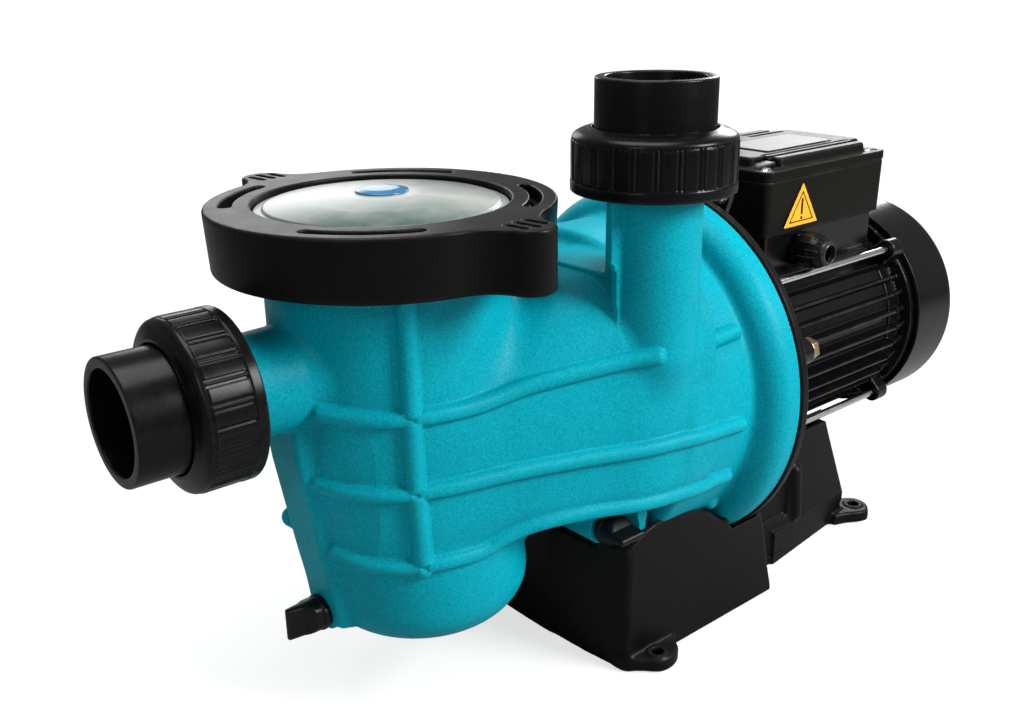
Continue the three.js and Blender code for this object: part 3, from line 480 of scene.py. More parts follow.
def lathe(name, profile, axis, at, segments, sharp, arc_steps=5):
    points = np.array(fillet(profile, arc_steps), float)
    count = len(points)
    turn = np.linspace(0, 2 * math.pi, segments, endpoint=False)
    along = np.repeat(points[:, 0][:, None], segments, 1)
    radius = points[:, 1][:, None]
    first, second = radius * np.cos(turn)[None], radius * np.sin(turn)[None]
    order = {"x": (along, first, second), "y": (second, along, first),
             "z": (first, second, along)}[axis]
    verts = np.stack([start + part for start, part in zip(at, order)], -1).reshape(-1, 3)
    i, j = np.meshgrid(np.arange(count), np.arange(segments), indexing="ij")
    i2, j2 = (i + 1) % count, (j + 1) % segments
    quads = np.stack([i * segments + j, i * segments + j2,
                      i2 * segments + j2, i2 * segments + j], -1).reshape(-1, 4)
    on_axis = points[:, 1] < 1e-6
    obj = mesh_object(name, verts, quads[~(on_axis[i.ravel()] & on_axis[i2.ravel()])])
    tidy(obj.data, sharp)
    return obj


def clone(obj, name):
    copy = obj.copy()
    copy.data = obj.data.copy()
    copy.name = name
    return link_object(copy)


# Turns from the local +Z axis to the way a port faces
FACING = {"-x": Matrix.Rotation(rad(-90), 4, "Y"), "-y": Matrix.Rotation(rad(90), 4, "X"),
          "z": Matrix.Identity(4)}


def move(obj, at, rotation):
    """places a piece that was built round the local +Z axis"""
    obj.data.transform(Matrix.Translation(Vector(at) * MM) @ rotation)
    obj.data.update()
    return obj


def piece(obj, body, material, node=None):
    obj.data.materials.append(MATERIALS[material])
    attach(obj, body)
    if node:
        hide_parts(node)


def moulding(name, field, low, high, spacing, body, material, node=None):
    piece(field_object(name, field, low, high, spacing), body, material, node)


# =========================================================================
# Materials
# =========================================================================
MATERIALS = {}


def srgb(*levels):
    return tuple((c / 255) / 12.92 if c / 255 <= 0.04045 else ((c / 255 + 0.055) / 1.055) ** 2.4
                 for c in levels) + (1.0,)


def scaled(colour, gain, lift=0.0):
    return tuple(min(v * gain + lift, 1) for v in colour[:3]) + (1,)


class Shader:
    """material with a Principled surface and short ways to add nodes"""

    def __init__(self, name):
        material = MATERIALS[name] = bpy.data.materials.new(name)
        material.use_nodes = True
        self.tree = material.node_tree
        self.tree.nodes.clear()
        output = self.new("ShaderNodeOutputMaterial")
        self.surface = self.new("ShaderNodeBsdfPrincipled")
        self.feed(output, {0: self.surface.outputs[0]})
        self.position = self.new("ShaderNodeTexCoord").outputs["Object"]

    def feed(self, node, inputs):
        for key, value in inputs.items():
            if isinstance(value, bpy.types.NodeSocket):
                self.tree.links.new(value, node.inputs[key])
            else:
                node.inputs[key].default_value = value

    def new(self, kind, inputs={}, **settings):
        node = self.tree.nodes.new(kind)
        for key, value in settings.items():
            setattr(node, key, value)
        self.feed(node, inputs)
        return node

    def set(self, inputs):
        self.feed(self.surface, inputs)

    def noise(self, scale, detail=3, rough=0.5, vector=None):
        return self.new("ShaderNodeTexNoise", {
            "Scale": scale, "Detail": detail, "Roughness": rough,
            "Vector": self.position if vector is None else vector}).outputs[0]

    def stretched(self, scale):
        return self.new("ShaderNodeMapping", {"Scale": scale, "Vector": self.position}).outputs[0]

    def ramp(self, source, stops):
        node = self.new("ShaderNodeValToRGB", {0: source})
        elements = node.color_ramp.elements
        for i, (position, colour) in enumerate(stops):
            element = elements[i] if i < 2 else elements.new(position)
            element.position = position
            element.color = colour
        return node.outputs[0]

    def fade(self, source, start, end, low=0.0, high=1.0):
        """grey ramp from low to high"""
        return self.ramp(source, [(start, (low, low, low, 1)), (end, (high, high, high, 1))])

    def mix(self, factor, first, second, mode="MIX"):
        return self.new("ShaderNodeMix", {0: factor, 6: first, 7: second},
                        data_type="RGBA", blend_type=mode).outputs[2]

    def math(self, operation, first, second, clamp=False):
        return self.new("ShaderNodeMath", {0: first, 1: second},
                        operation=operation, use_clamp=clamp).outputs[0]

    def bump(self, height, strength, distance, normal=None):
        inputs = {"Strength": strength, "Distance": distance, "Height": height}
        if normal is not None:
            inputs["Normal"] = normal
        return self.new("ShaderNodeBump", inputs).outputs[0]


def moulded(name, base, rough=0.5, grain=900.0, speckle=0.1, bump=0.12, mottling=0.08,
            wear=0.25, top_grey=0.0, spec=0.5, coat=0.0, grain_depth=0.0002, worn=None):
    """moulded plastic: fine speckle and grain, cloudy variation, lighter worn edges"""
    sh = Shader(name)
    grains = sh.fade(sh.noise(grain, detail=2, rough=0.6), 0.34, 0.66)
    colour = sh.mix(grains, scaled(base, 1 - speckle), scaled(base, 1 + speckle, 0.01 * speckle))
    clouds = sh.fade(sh.noise(14, detail=4, rough=0.55), 0.35, 0.65)
    clouds = sh.mix(clouds, scaled((1, 1, 1), 1 - mottling), (1, 1, 1, 1))
    colour = sh.mix(1.0, colour, clouds, "MULTIPLY")
    geometry = sh.new("ShaderNodeNewGeometry")
    edge = sh.fade(geometry.outputs["Pointiness"], 0.505, 0.56)
    rubbed = sh.fade(sh.noise(60, detail=5, rough=0.65), 0.42, 0.62, low=0.15)
    rubbed = sh.math("MULTIPLY", sh.math("MULTIPLY", edge, rubbed), wear)
    colour = sh.mix(rubbed, colour, worn or scaled(base, 1.6, 0.03))
    # upward faces turn lighter grey in patches
    if top_grey:
        normal = sh.new("ShaderNodeSeparateXYZ", {0: geometry.outputs["Normal"]})
        upward = sh.fade(normal.outputs[2], 0.55, 0.98)
        patches = sh.fade(sh.noise(35, detail=5, rough=0.7), 0.35, 0.7, low=0.2)
        top_grey_mask = sh.math("MULTIPLY", upward, sh.math("MULTIPLY", patches, top_grey))
        colour = sh.mix(top_grey_mask, colour, (0.42, 0.43, 0.42, 1))
    uneven = sh.math("SUBTRACT", sh.noise(90, detail=4, rough=0.6), 0.5)
    roughness = sh.math("ADD", sh.math("MULTIPLY", uneven, 0.16), rough, clamp=True)
    normal = sh.bump(sh.noise(grain * 0.8, detail=3, rough=0.6), bump, grain_depth)
    normal = sh.bump(sh.noise(28, detail=2, rough=0.5), bump * 0.35, 0.0012, normal)
    sh.set({"Base Color": colour, "Roughness": roughness, "Normal": normal,
            "Specular IOR Level": spec, "Coat Weight": coat, "Coat Roughness": 0.12})


def metal(name, base, rough=0.28, brushed=None, scratch=0.15, metallic=1.0, contrast=0.1):
    """streaked metal with small dark spots; brushed stretches the streaks"""
    sh = Shader(name)
    vector = sh.stretched(brushed) if brushed else None
    streaks = sh.noise(120, detail=4, rough=0.6, vector=vector)
    base = base + (1,)
    colour = sh.mix(sh.fade(streaks, 0.35, 0.65), scaled(base, 1 - contrast), base)
    spots = sh.fade(sh.noise(400, detail=3, rough=0.7), 0.6, 0.75)
    colour = sh.mix(sh.math("MULTIPLY", spots, 0.12), colour, scaled(base, 0.5))
    scratches = sh.math("MULTIPLY", streaks, scratch)
    roughness = sh.math("ADD", scratches, rough - scratch / 2, clamp=True)
    sh.set({"Base Color": colour, "Roughness": roughness, "Metallic": metallic,
            "Normal": sh.bump(streaks, strength=0.08, distance=0.0002)})


moulded("casing_plastic", srgb(0, 155, 173), rough=0.44, grain=1100, speckle=0.20, bump=0.24,
        mottling=0.12, wear=0.4, spec=0.07, worn=srgb(16, 176, 190))
moulded("black_plastic", srgb(9, 9, 8), rough=0.36, grain=1300, speckle=0.25, bump=0.16,
        mottling=0.2, wear=0.5, top_grey=0.03, spec=0.10, worn=srgb(46, 46, 45))
moulded("union_plastic", srgb(9, 9, 9), rough=0.25, grain=700, speckle=0.15, bump=0.08,
        mottling=0.15, wear=0.6, spec=0.14, worn=srgb(62, 62, 62))
moulded("plug_plastic", srgb(12, 12, 12), rough=0.32, grain=1200, bump=0.1, wear=0.4,
        spec=0.2, worn=srgb(50, 50, 50))
moulded("box_plastic", srgb(12, 11, 9), rough=0.40, grain=1500, speckle=0.16, wear=0.5,
        top_grey=0.06, spec=0.10, worn=srgb(62, 61, 58))
moulded("motor_paint", srgb(9, 9, 9), rough=0.24, grain=420, bump=0.10, mottling=0.1,
        wear=0.45, spec=0.22, coat=0.1, worn=srgb(60, 60, 60), grain_depth=0.0003)
moulded("cover_plastic", srgb(10, 10, 10), rough=0.25, bump=0.06, wear=0.35, spec=0.2,
        coat=0.05, worn=srgb(60, 60, 60))
moulded("seal_rubber", srgb(20, 20, 20), rough=0.75, grain=2000, bump=0.15, wear=0.0, spec=0.3)
moulded("impeller_plastic", srgb(50, 54, 58), grain=800, bump=0.1, wear=0.2)
moulded("basket_plastic", srgb(226, 230, 227), rough=0.45, speckle=0.03, bump=0.06,
        wear=0.0, mottling=0.05)
moulded("capacitor_white", srgb(224, 225, 222), rough=0.4, speckle=0.03, bump=0.05,
        wear=0.0, mottling=0.04)
moulded("seal_carbon", srgb(45, 45, 47), rough=0.45, grain=1500, bump=0.05, wear=0.1)
moulded("seal_ceramic", srgb(232, 228, 218), rough=0.2, speckle=0.02, bump=0.02,
        wear=0.0, mottling=0.03)
metal("bright_steel", (0.66, 0.66, 0.67), rough=0.24, scratch=0.14)
metal("rod_steel", (0.72, 0.72, 0.72), rough=0.2, brushed=(1, 14, 14), scratch=0.1)
metal("bolt_brass", (0.62, 0.44, 0.26), rough=0.3)
metal("copper_wire", (0.72, 0.32, 0.14), rough=0.35, brushed=(6, 1, 1))
metal("lamination_steel", (0.34, 0.35, 0.36), rough=0.45, brushed=(40, 0.3, 0.3), scratch=0.2,
      metallic=0.9, contrast=0.4)
moulded("label_yellow", srgb(247, 176, 22), rough=0.35, grain=1500, speckle=0.04, bump=0.03,
        wear=0.1, mottling=0.04)
moulded("clear_insert", srgb(44, 43, 40), rough=0.2, speckle=0.05, bump=0.05, wear=0.1,
        mottling=0.2)
moulded("label_ink", srgb(22, 20, 16), rough=0.4, grain=1500, speckle=0.05, bump=0.02, wear=0.0)


def clear_lid_material():
    """hazy clear plastic, with painted light across the lid from the far +X side to the near -X
    side: painted shade at the far side, a painted highlight in the middle and painted shade at the
    near rim
    """
    sh = Shader("clear_lid")
    place = sh.new("ShaderNodeSeparateXYZ", {0: sh.position})
    from_axis = sh.math("ADD", place.outputs[0], -POT_X * MM)
    front = sh.math("ADD", sh.math("MULTIPLY", from_axis, -0.60),
                    sh.math("MULTIPLY", place.outputs[1], -0.72))
    # painted reflection and shade: grey at the far side, brightest in the middle, dark green-grey
    # at the near rim
    painted_reflection_and_shade = sh.ramp(sh.math("ADD", sh.math("MULTIPLY", front, 8.0), 0.5), [
        (0.06, srgb(92, 97, 94)), (0.30, srgb(140, 146, 142)), (0.56, srgb(176, 180, 176)),
        (0.74, srgb(122, 134, 129)), (0.90, srgb(72, 92, 89)), (1.0, srgb(46, 70, 68))])
    haze = sh.noise(70, detail=4, rough=0.6)
    colour = sh.mix(sh.fade(haze, 0.4, 0.7, high=0.12), painted_reflection_and_shade, (0.86, 0.88, 0.87, 1))
    sh.set({"Base Color": colour,
            "Roughness": sh.math("ADD", sh.math("MULTIPLY", haze, 0.06), 0.30),
            "Transmission Weight": 0.12, "IOR": 1.45,
            "Coat Weight": 0.10, "Coat Roughness": 0.15,
            "Normal": sh.bump(sh.noise(25, detail=2), strength=0.04, distance=0.001)})


def badge_material():
    sh = Shader("badge_blue")
    clouds = sh.fade(sh.noise(60), 0.3, 0.7)
    sh.set({"Base Color": sh.mix(clouds, srgb(16, 70, 116), srgb(46, 118, 160)),
            "Roughness": 0.25, "Coat Weight": 0.3, "Coat Roughness": 0.15})


def plate_material():
    sh = Shader("plate_metal")
    streaks = sh.noise(30, detail=4, rough=0.6, vector=sh.stretched((2, 60, 1)))
    colour = sh.mix(sh.fade(streaks, 0.3, 0.7), (0.10, 0.10, 0.10, 1), (0.20, 0.20, 0.20, 1))
    sh.set({"Base Color": colour, "Roughness": 0.5, "Metallic": 0.35,
            "Normal": sh.bump(streaks, strength=0.05, distance=0.0002)})


clear_lid_material()
badge_material()
plate_material()


# =========================================================================
# Pump body: pot, barrel, volute, flange, ports and ribs in one moulding
# =========================================================================
# Pot axis and radius by height
POT_HEIGHTS = [40, 46, 71, 91, 112, 160, 300]
pot_centre = table(POT_HEIGHTS, [POT_X + 13.5, POT_X + 13.5, POT_X + 13, POT_X + 9.8,
                                 POT_X + 6, POT_X, POT_X], 7)
pot_radius = table(POT_HEIGHTS, [60, 60, 60.4, 61.3, 61.8, 62.2, 62.0], 7)
# Reach of the barrel from the shaft by x: near side, far side and top
barrel_near = table(
    [-240, -230, -215, -203, -187, -168.6, -147, -125, -113, -103, -92, -78, -60],
    [36, 44, 55, 62, 68.5, 74, 81, 88.5, 94.5, 97.5, 99.5, 100.5, 100.5], 6)
barrel_far = table([-240, -230, -215, -203, -187, -168.6, -147, -125, -103, -78, -60],
                   [36, 44, 55, 62, 67.5, 71.5, 77, 83, 90, 95, 96], 6)
barrel_top = table([-230, -203, -187, -168, -147, -125, -113, -103, -60],
                   [60, 64, 67.5, 73, 82, 89, 91, 92, 93], 6)
# x of the keel's front face by height
keel_front = table([60, 83, 104, 129, 150, 160, 186],
                   [-253.6, -256.4, -260.6, -264.8, -268.4, -270.2, -272], 5)


def pot_and_barrel(x, y, z):
    side = length(x - pot_centre(z), y) - pot_radius(z)
    pot = overlap(corner(side, 48.5 - z, 26), z - 262)
    collar = cone("z", x, y, z, POT, [249, 257, 271.6], [62.5, 75.5, 76])
    pot = blend(pot, collar, 5)
    near, far = -y - barrel_near(x), y - barrel_far(x)
    top = z - SHAFT_Z - barrel_top(x)
    bottom = overlap(98.5 - z,
                     (np.abs(y) - barrel_near(x)) * 0.46 + (113.5 - z) * 0.888)
    barrel = overlap(corner(near, top, 44), corner(far, top, 52), corner(near, bottom, 13),
                     corner(far, bottom, 13), x + 60, -236 - x)
    return blend(pot, barrel, 13)


def volute(x, y, z):
    radius = shaft_polar(y, z)[0]
    disc = corner(radius - 100.2, overlap(-79 - x, x), 4.5)
    flange = overlap(corner(radius - 115.5, -21.5 - x, 13.5), corner(radius - 115.5, x, 0.8))
    return blend(disc, flange, 5)


def body_plain(x, y, z):
    """the body without ribs, which the ribs follow"""
    shape = blend(pot_and_barrel(x, y, z), volute(x, y, z), 6)
    shape = blend(shape, box(x, y, z, (-113, -79, 196), (-60, -10, 241), 1.6), 1.6)
    foot = (RISER_X + 1, RISER_Y - 0.5, 200)
    riser = join(rod(x, y, z, foot, (RISER_X + 1, RISER_Y - 0.5, 284), 24.7),
                 rod(x, y, z, foot, (RISER_X + 4, RISER_Y + 12, 150), 24.7, 22))
    shape = blend(shape, overlap(riser, z - 290), 3.5)
    neck = cone("x", x, y, z, (0, 0, SUCTION_Z), [-314.5, -296, -266, -256, -240],
                [25.4, 25.6, 26.4, 29, 31])
    shape = blend(shape, neck, 5)
    boss = cyl("x", x, y, z, (0, 0, POT_DRAIN[2]), 11.2, POT_DRAIN[0], -190, 1.0)
    shape = blend(shape, boss, 2.5)
    boss = cyl("y", x, y, z, (VOLUTE_DRAIN[0], 0, VOLUTE_DRAIN[2]), 11.2,
               VOLUTE_DRAIN[1], -20, 1.0)
    return blend(shape, boss, 4)


def smooth_path(points, step):
    """points resampled along a Catmull-Rom curve"""
    guide = np.array(points, float)
    guide = np.vstack([2 * guide[0] - guide[1], guide, 2 * guide[-1] - guide[-2]])
    out = []
    for before, start, end, after in zip(guide, guide[1:], guide[2:], guide[3:]):
        count = max(int(np.linalg.norm(end - start) / step), 1)
        for i in range(count):
            t = i / count
            out.append(0.5 * ((2 * start) + (-before + end) * t
                              + (2 * before - 5 * start + 4 * end - after) * t * t
                              + (-before + 3 * start - 3 * end + after) * t ** 3))
    out.append(guide[-2])
    return np.array(out)


def stick(points):
    """moves guide points level onto the plain body, then takes the kinks out"""
    line = smooth_path(points, 5.0)
    for _ in range(12):
        distance, normal = gradient(body_plain, line, 0.3)
        normal[:, 2] = 0
        size = np.linalg.norm(normal, axis=1)
        size[size < 0.2] = 0.2
        line = line - normal / size[:, None] * distance[:, None] * 0.8
    for _ in range(2):
        line[1:-1] = line[1:-1] * 0.5 + (line[:-2] + line[2:]) * 0.25
    return line


def round_pot(stations):
    """guide points round the pot through (angle, height) stations"""
    first, last = stations[0][0], stations[-1][0]
    angles, heights = np.array(sorted(stations), float).T
    out = []
    for angle in np.linspace(first, last, max(int(abs(last - first) / 9), 2)):
        z = float(np.interp(angle, angles, heights))
        centre, radius = float(pot_centre(z)), float(pot_radius(z))
        out.append((centre + radius * math.cos(rad(angle)), radius * math.sin(rad(angle)), z))
    return out


# Level ribs: (angle, height) stations round the pot, then (x, y, z) along the barrel
LEVEL_RIBS = [stick(round_pot(stations) + points) for stations, points in (
    # near side, upper rib in two parts
    ([(203, 192), (214, 190.6), (230, 189.3), (277, 189.4)],
     [(-184, -66, 191), (-172, -68, 193.6), (-160, -72, 195.4), (-145, -78, 197.6),
      (-126, -87, 200), (-113, -93, 201.8), (-104, -96, 202.6)]),
)] + [stick([(-70, -90, 194.6), (-46, -90, 195.2), (-30, -90, 195.6)])]
LEVEL_RIBS += [stick(round_pot(stations) + points) for stations, points in (
    # near side, middle
    ([(197, 152), (207, 150), (224, 149.5), (279, 150.2)],
     [(-176, -73, 150.2), (-147, -81, 150), (-125, -88, 149.8), (-103, -98, 149.8),
      (-90, -100, 149.6), (-78, -100, 149), (-66, -100, 148), (-50, -100, 146),
      (-36, -100, 144.6)]),
    # near side, lower
    ([(199, 112), (205, 109.2), (215, 107.4), (229, 107.2), (277, 107.6)],
     [(-188, -66, 110.2), (-177, -70, 114), (-162, -75, 117), (-136, -82, 117.2),
      (-112, -90, 116.2), (-90, -96, 115.4), (-78, -98, 114.8), (-66, -96, 113.6),
      (-50, -94, 112.2), (-38, -94, 111.2)]),
    # far side: upper, middle, lower
    ([(152, 190), (83, 189.4)],
     [(-184, 66, 191), (-172, 68, 193.6), (-145, 76, 197.6), (-113, 86, 198), (-90, 92, 197),
      (-70, 90, 195), (-46, 90, 195.2), (-30, 90, 195.6)]),
    ([(152, 150), (81, 150)],
     [(-176, 73, 150.2), (-147, 78, 150), (-103, 90, 149.8), (-78, 100, 149),
      (-50, 100, 147.4), (-36, 100, 147.4)]),
    ([(152, 107.4), (83, 107.6)],
     [(-188, 66, 110.2), (-177, 69, 114), (-162, 72, 117), (-136, 78, 117.2),
      (-112, 86, 116.2), (-90, 92, 115.4), (-66, 94, 113.6), (-38, 94, 112)]),
)]
# Upright rib on the near side of the pot: x shift of the centre, radius, angle, height
UPRIGHT_RIB = stick([
    (POT_X + shift + radius * math.cos(rad(angle)), radius * math.sin(rad(angle)), z)
    for shift, radius, angle, z in (
        (0, 62, 244, 252), (0, 62, 243.9, 218), (0, 62, 243.9, 192), (0, 62, 243.9, 172),
        (1, 62, 243.5, 152), (4, 62, 242.2, 131), (6.4, 61.5, 241.2, 105))])
UPRIGHT_RIBS = [UPRIGHT_RIB, UPRIGHT_RIB * np.array([1, -1, 1])]
# Gusset beside the riser, as (x, z)
RISER_FIN = [(-125.2, 284), (-105, 284), (-105, 200), (-119.5, 205), (-120.8, 246),
             (-124.4, 251.5)]


def body_field(x, y, z):
    shape = body_plain(x, y, z)
    # every rib narrows to a point where it meets another, which leaves mitred crossings
    turn = np.arctan2(-np.abs(y), x - pot_centre(z)) + 2 * math.pi
    upright_at = rad(1) * np.interp(z, [105, 131, 152, 172], [241.2, 242.2, 243.4, 243.9])
    from_upright = np.abs(turn - upright_at) * 66
    level_loss = 4.6 - np.minimum(4.6, 3.1 + from_upright * 0.8).astype(F)
    from_level = join(*[np.abs(z - height) for height in (189.3, 149.8, 107.4)])
    upright_loss = 5.1 - np.minimum(5.1, 3.4 + from_level * 0.8).astype(F)
    level = join(*[bar_along(x, y, z, line, 4.6) for line in LEVEL_RIBS])
    upright = join(*[bar_along(x, y, z, line, 5.1) for line in UPRIGHT_RIBS])
    shape = blend(shape, join(level + level_loss, upright + upright_loss), 1.5)
    # upright keel under the suction pipe, with a flat front and slanted sides
    front = keel_front(z)
    side = (np.abs(y) - 14.4 - (x - front) * 0.5) * 0.894
    keel = overlap(corner(front - x, side, 2.2), z - 196, 62 - z, x + 225)
    shape = blend(shape, keel, 1.6)
    # gusset beside the riser, tab and small bosses
    shape = blend(shape, overlap(polygon(x, z, RISER_FIN), np.abs(y + 81.2) - 2.0), 1.2)
    tab = polygon(x, z, [(-97, 110), (-84, 112), (-88, 84), (-91, 84)])
    shape = blend(shape, overlap(tab, np.abs(y + 66) - 12), 1.5)
    shape = blend(shape, rod(x, y, z, (-29, -72, 93), (-29, -76, 84.5), 5.2), 3)
    shape = blend(shape, rod(x, y, z, (-246, 27, 112), (-253.6, 28.6, 112), 5.6), 2)
    # collars at both ports
    riser_collar = cone("z", x, y, z, (RISER_X, RISER_Y, 0), [284.3, 288.4, RISER_SEAT],
                        [25, 36.5, 36.8], 0.5)
    suction_collar = cyl("x", x, y, z, (0, 0, SUCTION_Z), 36.8, SUCTION_SEAT,
                         SUCTION_END + 52.5, 0.8)
    shape = join(shape, riser_collar, suction_collar)
    step = cone("x", x, y, z, (0, 0, SUCTION_Z), [SUCTION_END + 52, SUCTION_END + 58], [35, 26])
    return blend(shape, step, 1)


def body_hollow(x, y, z):
    """everything removed from the moulding"""
    side = length(x - pot_centre(z), y) - (pot_radius(z) - 6)
    shape = blend(corner(side, 54 - z, 22), cyl("z", x, y, z, POT, 66.2, 258, 320), 4)
    shape = overlap(shape, -(z - 40))
    shape = blend(shape, cyl("x", x, y, z, (0, 0, SUCTION_Z), 20, -400, POT_X), 3)
    shape = blend(shape, cyl("x", x, y, z, SHAFT, 22, -160, -88), 3)
    chamber = cone("x", x, y, z, SHAFT, [-93, -40, -22, -10, 2], [62, 62, 84, 93, 93])
    shape = join(shape, chamber, cyl("z", x, y, z, (RISER_X, RISER_Y, 0), 20, 203, 360))
    throat = rod(x, y, z, (RISER_X, RISER_Y, 205), (RISER_X, -44, 158), 18, 15)
    shape = blend(shape, throat, 3)
    # ring grooves in both union faces
    for axis, at, inward in (("x", (SUCTION_SEAT, 0, SUCTION_Z), 1),
                             ("z", (RISER_X, RISER_Y, RISER_SEAT), -1)):
        along, *across = split(axis, x, y, z, at)
        groove = overlap(np.abs(length(*across) - 29.7) - 2.7, along * inward - 3.4)
        shape = join(shape, groove)
    shape = join(shape, cyl("x", x, y, z, (0, 0, POT_DRAIN[2]), 6.6, -300, -224),
                 cyl("y", x, y, z, (VOLUTE_DRAIN[0], 0, VOLUTE_DRAIN[2]), 6.6, -120, -8))
    # ring groove and bolt holes in the flange
    radius, angle = shaft_polar(y, z)
    shape = join(shape, overlap(np.abs(radius - 98.3) - 2.3, -4.2 - x))
    along, across = sector(radius, fold(angle - rad(BOLT_START), 60))
    return join(shape, overlap(length(along - BOLT_CIRCLE, across) - 4.3, -9.8 - x))


def add_body():
    moulding("pump_body_shell", lambda x, y, z: cut(body_field(x, y, z), body_hollow(x, y, z)),
             (-318, -119, 44), (1, 119, 306), 1.35, "casing", "casing_plastic", "pump_body")


# =========================================================================
# Lid ring, clear lid, strainer basket
# =========================================================================
RING_BOTTOM, RING_TOP = 253, 283.7

# Closed profiles as (height above LID_Z, radius[, rounding])
LID_PROFILE = [
    (-12, 60.6, .6), (-12, 63.4, .8), (-8.2, 63.6), (-8.2, 62.4), (-4.4, 62.4), (-4.4, 64.0),
    (0, 64.4, .5), (0, 74.8, .8), (4.8, 74.8, .8), (4.8, 64.0, 1.0), (8.2, 63.6, .8),
    (8.6, 59.6, .5), (9.9, 58.6, 1.2), (12.8, 40.0, 30), (14.6, 20.0, 30), (15.0, 0),
    (11.8, 0), (11.4, 20, 30), (9.4, 40, 30), (6.4, 55, 8), (3.2, 60.4, 3)]
BADGE_PROFILE = [(14.7, 0), (14.7, 13.4, .3), (15.6, 13.4, .5), (16.6, 9.0, 8), (16.9, 0)]
LID_SEAL_PROFILE = [(-7.8, 62.6, 1.3), (-7.8, 65.4, 1.3), (-4.8, 65.4, 1.3), (-4.8, 62.6, 1.3)]


def ring_field(x, y, z):
    x = x - POT_X
    radius = length(x, y)
    side = radius - lookup(z, [RING_BOTTOM, RING_TOP], [86.2, 87.7])
    for angle in LUG_ANGLES:
        along, across = rotated(x, y, angle)
        tip = length(np.maximum(along - 97.4, 0), across) - 12.2
        arm = np.abs(across) - lookup(along, [60, 84, 97.4], [17, 14.4, 12.2])
        lug = overlap(np.where(along > 97.4, tip, arm), 60 - along)
        side = blend(side, lug, 15)
    shape = corner(side, slab(z, RING_BOTTOM, RING_TOP), 1.6)
    # eye, and the space over the collar
    shape = cut(shape, radius - 64.6, 1.2)
    shape = cut(shape, overlap(radius - 77, z - (LID_Z + 5.4)))
    # four curved recesses in the top
    degrees = np.degrees(np.arctan2(y, x))
    for centre in (133, 47, -38, -131):
        beyond = np.radians(np.maximum(degrees_from(degrees, centre) - 19.2, 0)) * 76.6
        recess = length(radius - 76.6, beyond) - 3.1
        shape = cut(shape, overlap(recess, 276.5 - z), 0.9)
    # three grooves in each lug
    for angle in LUG_ANGLES:
        along, across = rotated(x, y, angle)
        for offset, end in ((-6.6, 102), (0, 104), (6.6, 102)):
            groove = long_hole(along, across - offset, 87.5, end, 1.5)
            shape = cut(shape, overlap(groove, 279.6 - z), 0.6)
    return shape


def lid_lathe(name, profile, segments, sharp, arc_steps):
    profile = [(LID_Z + height, *rest) for height, *rest in profile]
    return lathe(name, profile, "z", POT, segments, sharp, arc_steps)


def add_lid():
    moulding("lid_ring_moulding", ring_field, (POT_X - 92, -112, 252), (POT_X + 92, 112, 285),
             0.95, "ring", "black_plastic", "lid_ring")
    piece(lid_lathe("lid_dome", LID_PROFILE, 192, 25, 8), "lid", "clear_lid", "lid")
    piece(lid_lathe("lid_badge_disc", BADGE_PROFILE, 96, 35, 6),
          "lid", "badge_blue", "lid_badge")
    piece(lid_lathe("lid_seal", LID_SEAL_PROFILE, 128, 40, 5), "lid", "seal_rubber", "lid_oring")


def basket_field(x, y, z):
    x = x - POT_X
    radius, angle = length(x, y), np.arctan2(y, x)
    outer = lookup(z, [112, 236], [39.5, 50])
    skin = np.abs(radius - (outer - 1.1))
    wall = overlap(skin - 1.1, slab(z, 112, 238))
    # lattice of slots between hoops and staves
    row = (z - 118) % 17.4 - 8.7
    slots = np.abs(fold(angle, 7.5) * outer) - 1.9
    wall = cut(wall, overlap(slots, np.abs(row) - 7.0, slab(z, 118, 222)))
    # framed opening that faces the suction port
    port = length(np.maximum(np.abs(y) - 6, 0), np.maximum(np.abs(z - 201) - 11, 0)) - 12
    wall = cut(wall, overlap(port, x + 20))
    port_frame = overlap(np.abs(port) - 1.4, x + 20, skin - 1.3)
    rim = overlap(np.abs(radius - 53.2) - 4.2, np.abs(z - 237.8) - 1.7)
    floor = overlap(radius - 39.5, np.abs(z - 113.2) - 1.3)
    for circle in (12, 20, 28):
        spokes = 0.9 - np.abs(fold(angle, 45)) * circle + 1.2
        floor = cut(floor, overlap(np.abs(radius - circle) - 2.0, spokes))
    shape = blend(blend(join(wall, port_frame), rim, 1.5), floor, 1.2)
    # arched handle
    share = np.abs(x) / 51.5
    arch = 237.6 + 26 * np.sqrt(np.maximum(1 - share * share, 0))
    handle = length((z - arch) * np.clip(1.02 - share * share, 0.25, 1),
                    np.maximum(np.abs(y) - 2.2, 0)) - 1.5
    return join(shape, overlap(handle, np.abs(x) - 51.5, 236.5 - z))


def add_basket():
    moulding("strainer_basket_moulding", basket_field, (POT_X - 58, -58, 111),
             (POT_X + 58, 58, 266), 0.95, "basket", "basket_plastic", "strainer_basket")


# =========================================================================
# Union connectors and drain plugs, built along +Z and then turned
# =========================================================================
nut_radius = table(
    [-57, -55.4, -50.6, -49.8, -29.4, -28.2, -27.0, -26.0, -25.0, -24.2, -23],
    [41.9, 42.3, 42.3, 41.6, 41.6, 41.2, 39.8, 37.6, 34.4, 32.8, 32], 0.35, 0.05)
# Closed profiles as (height, radius[, rounding])
TAIL_PROFILE = [(0, 25.15, .9), (0, 30.5, 1.0), (-31, 30.5, .6), (-31, 36.0, .6),
                (-35.7, 36.0, .5), (-35.7, 21.5, .8), (-29, 21.5, .8), (-29, 25.0, .4)]
FACE_SEAL_PROFILE = [(-3.1, 28, 1.2), (-3.1, 31.4, 1.2), (-0.15, 31.4, 1.2), (-0.15, 28, 1.2)]
DRAIN_SEAL_PROFILE = [(0.3, 6.9, .8), (0.3, 8.8, .8), (2.2, 8.8, .8), (2.2, 6.9, .8)]
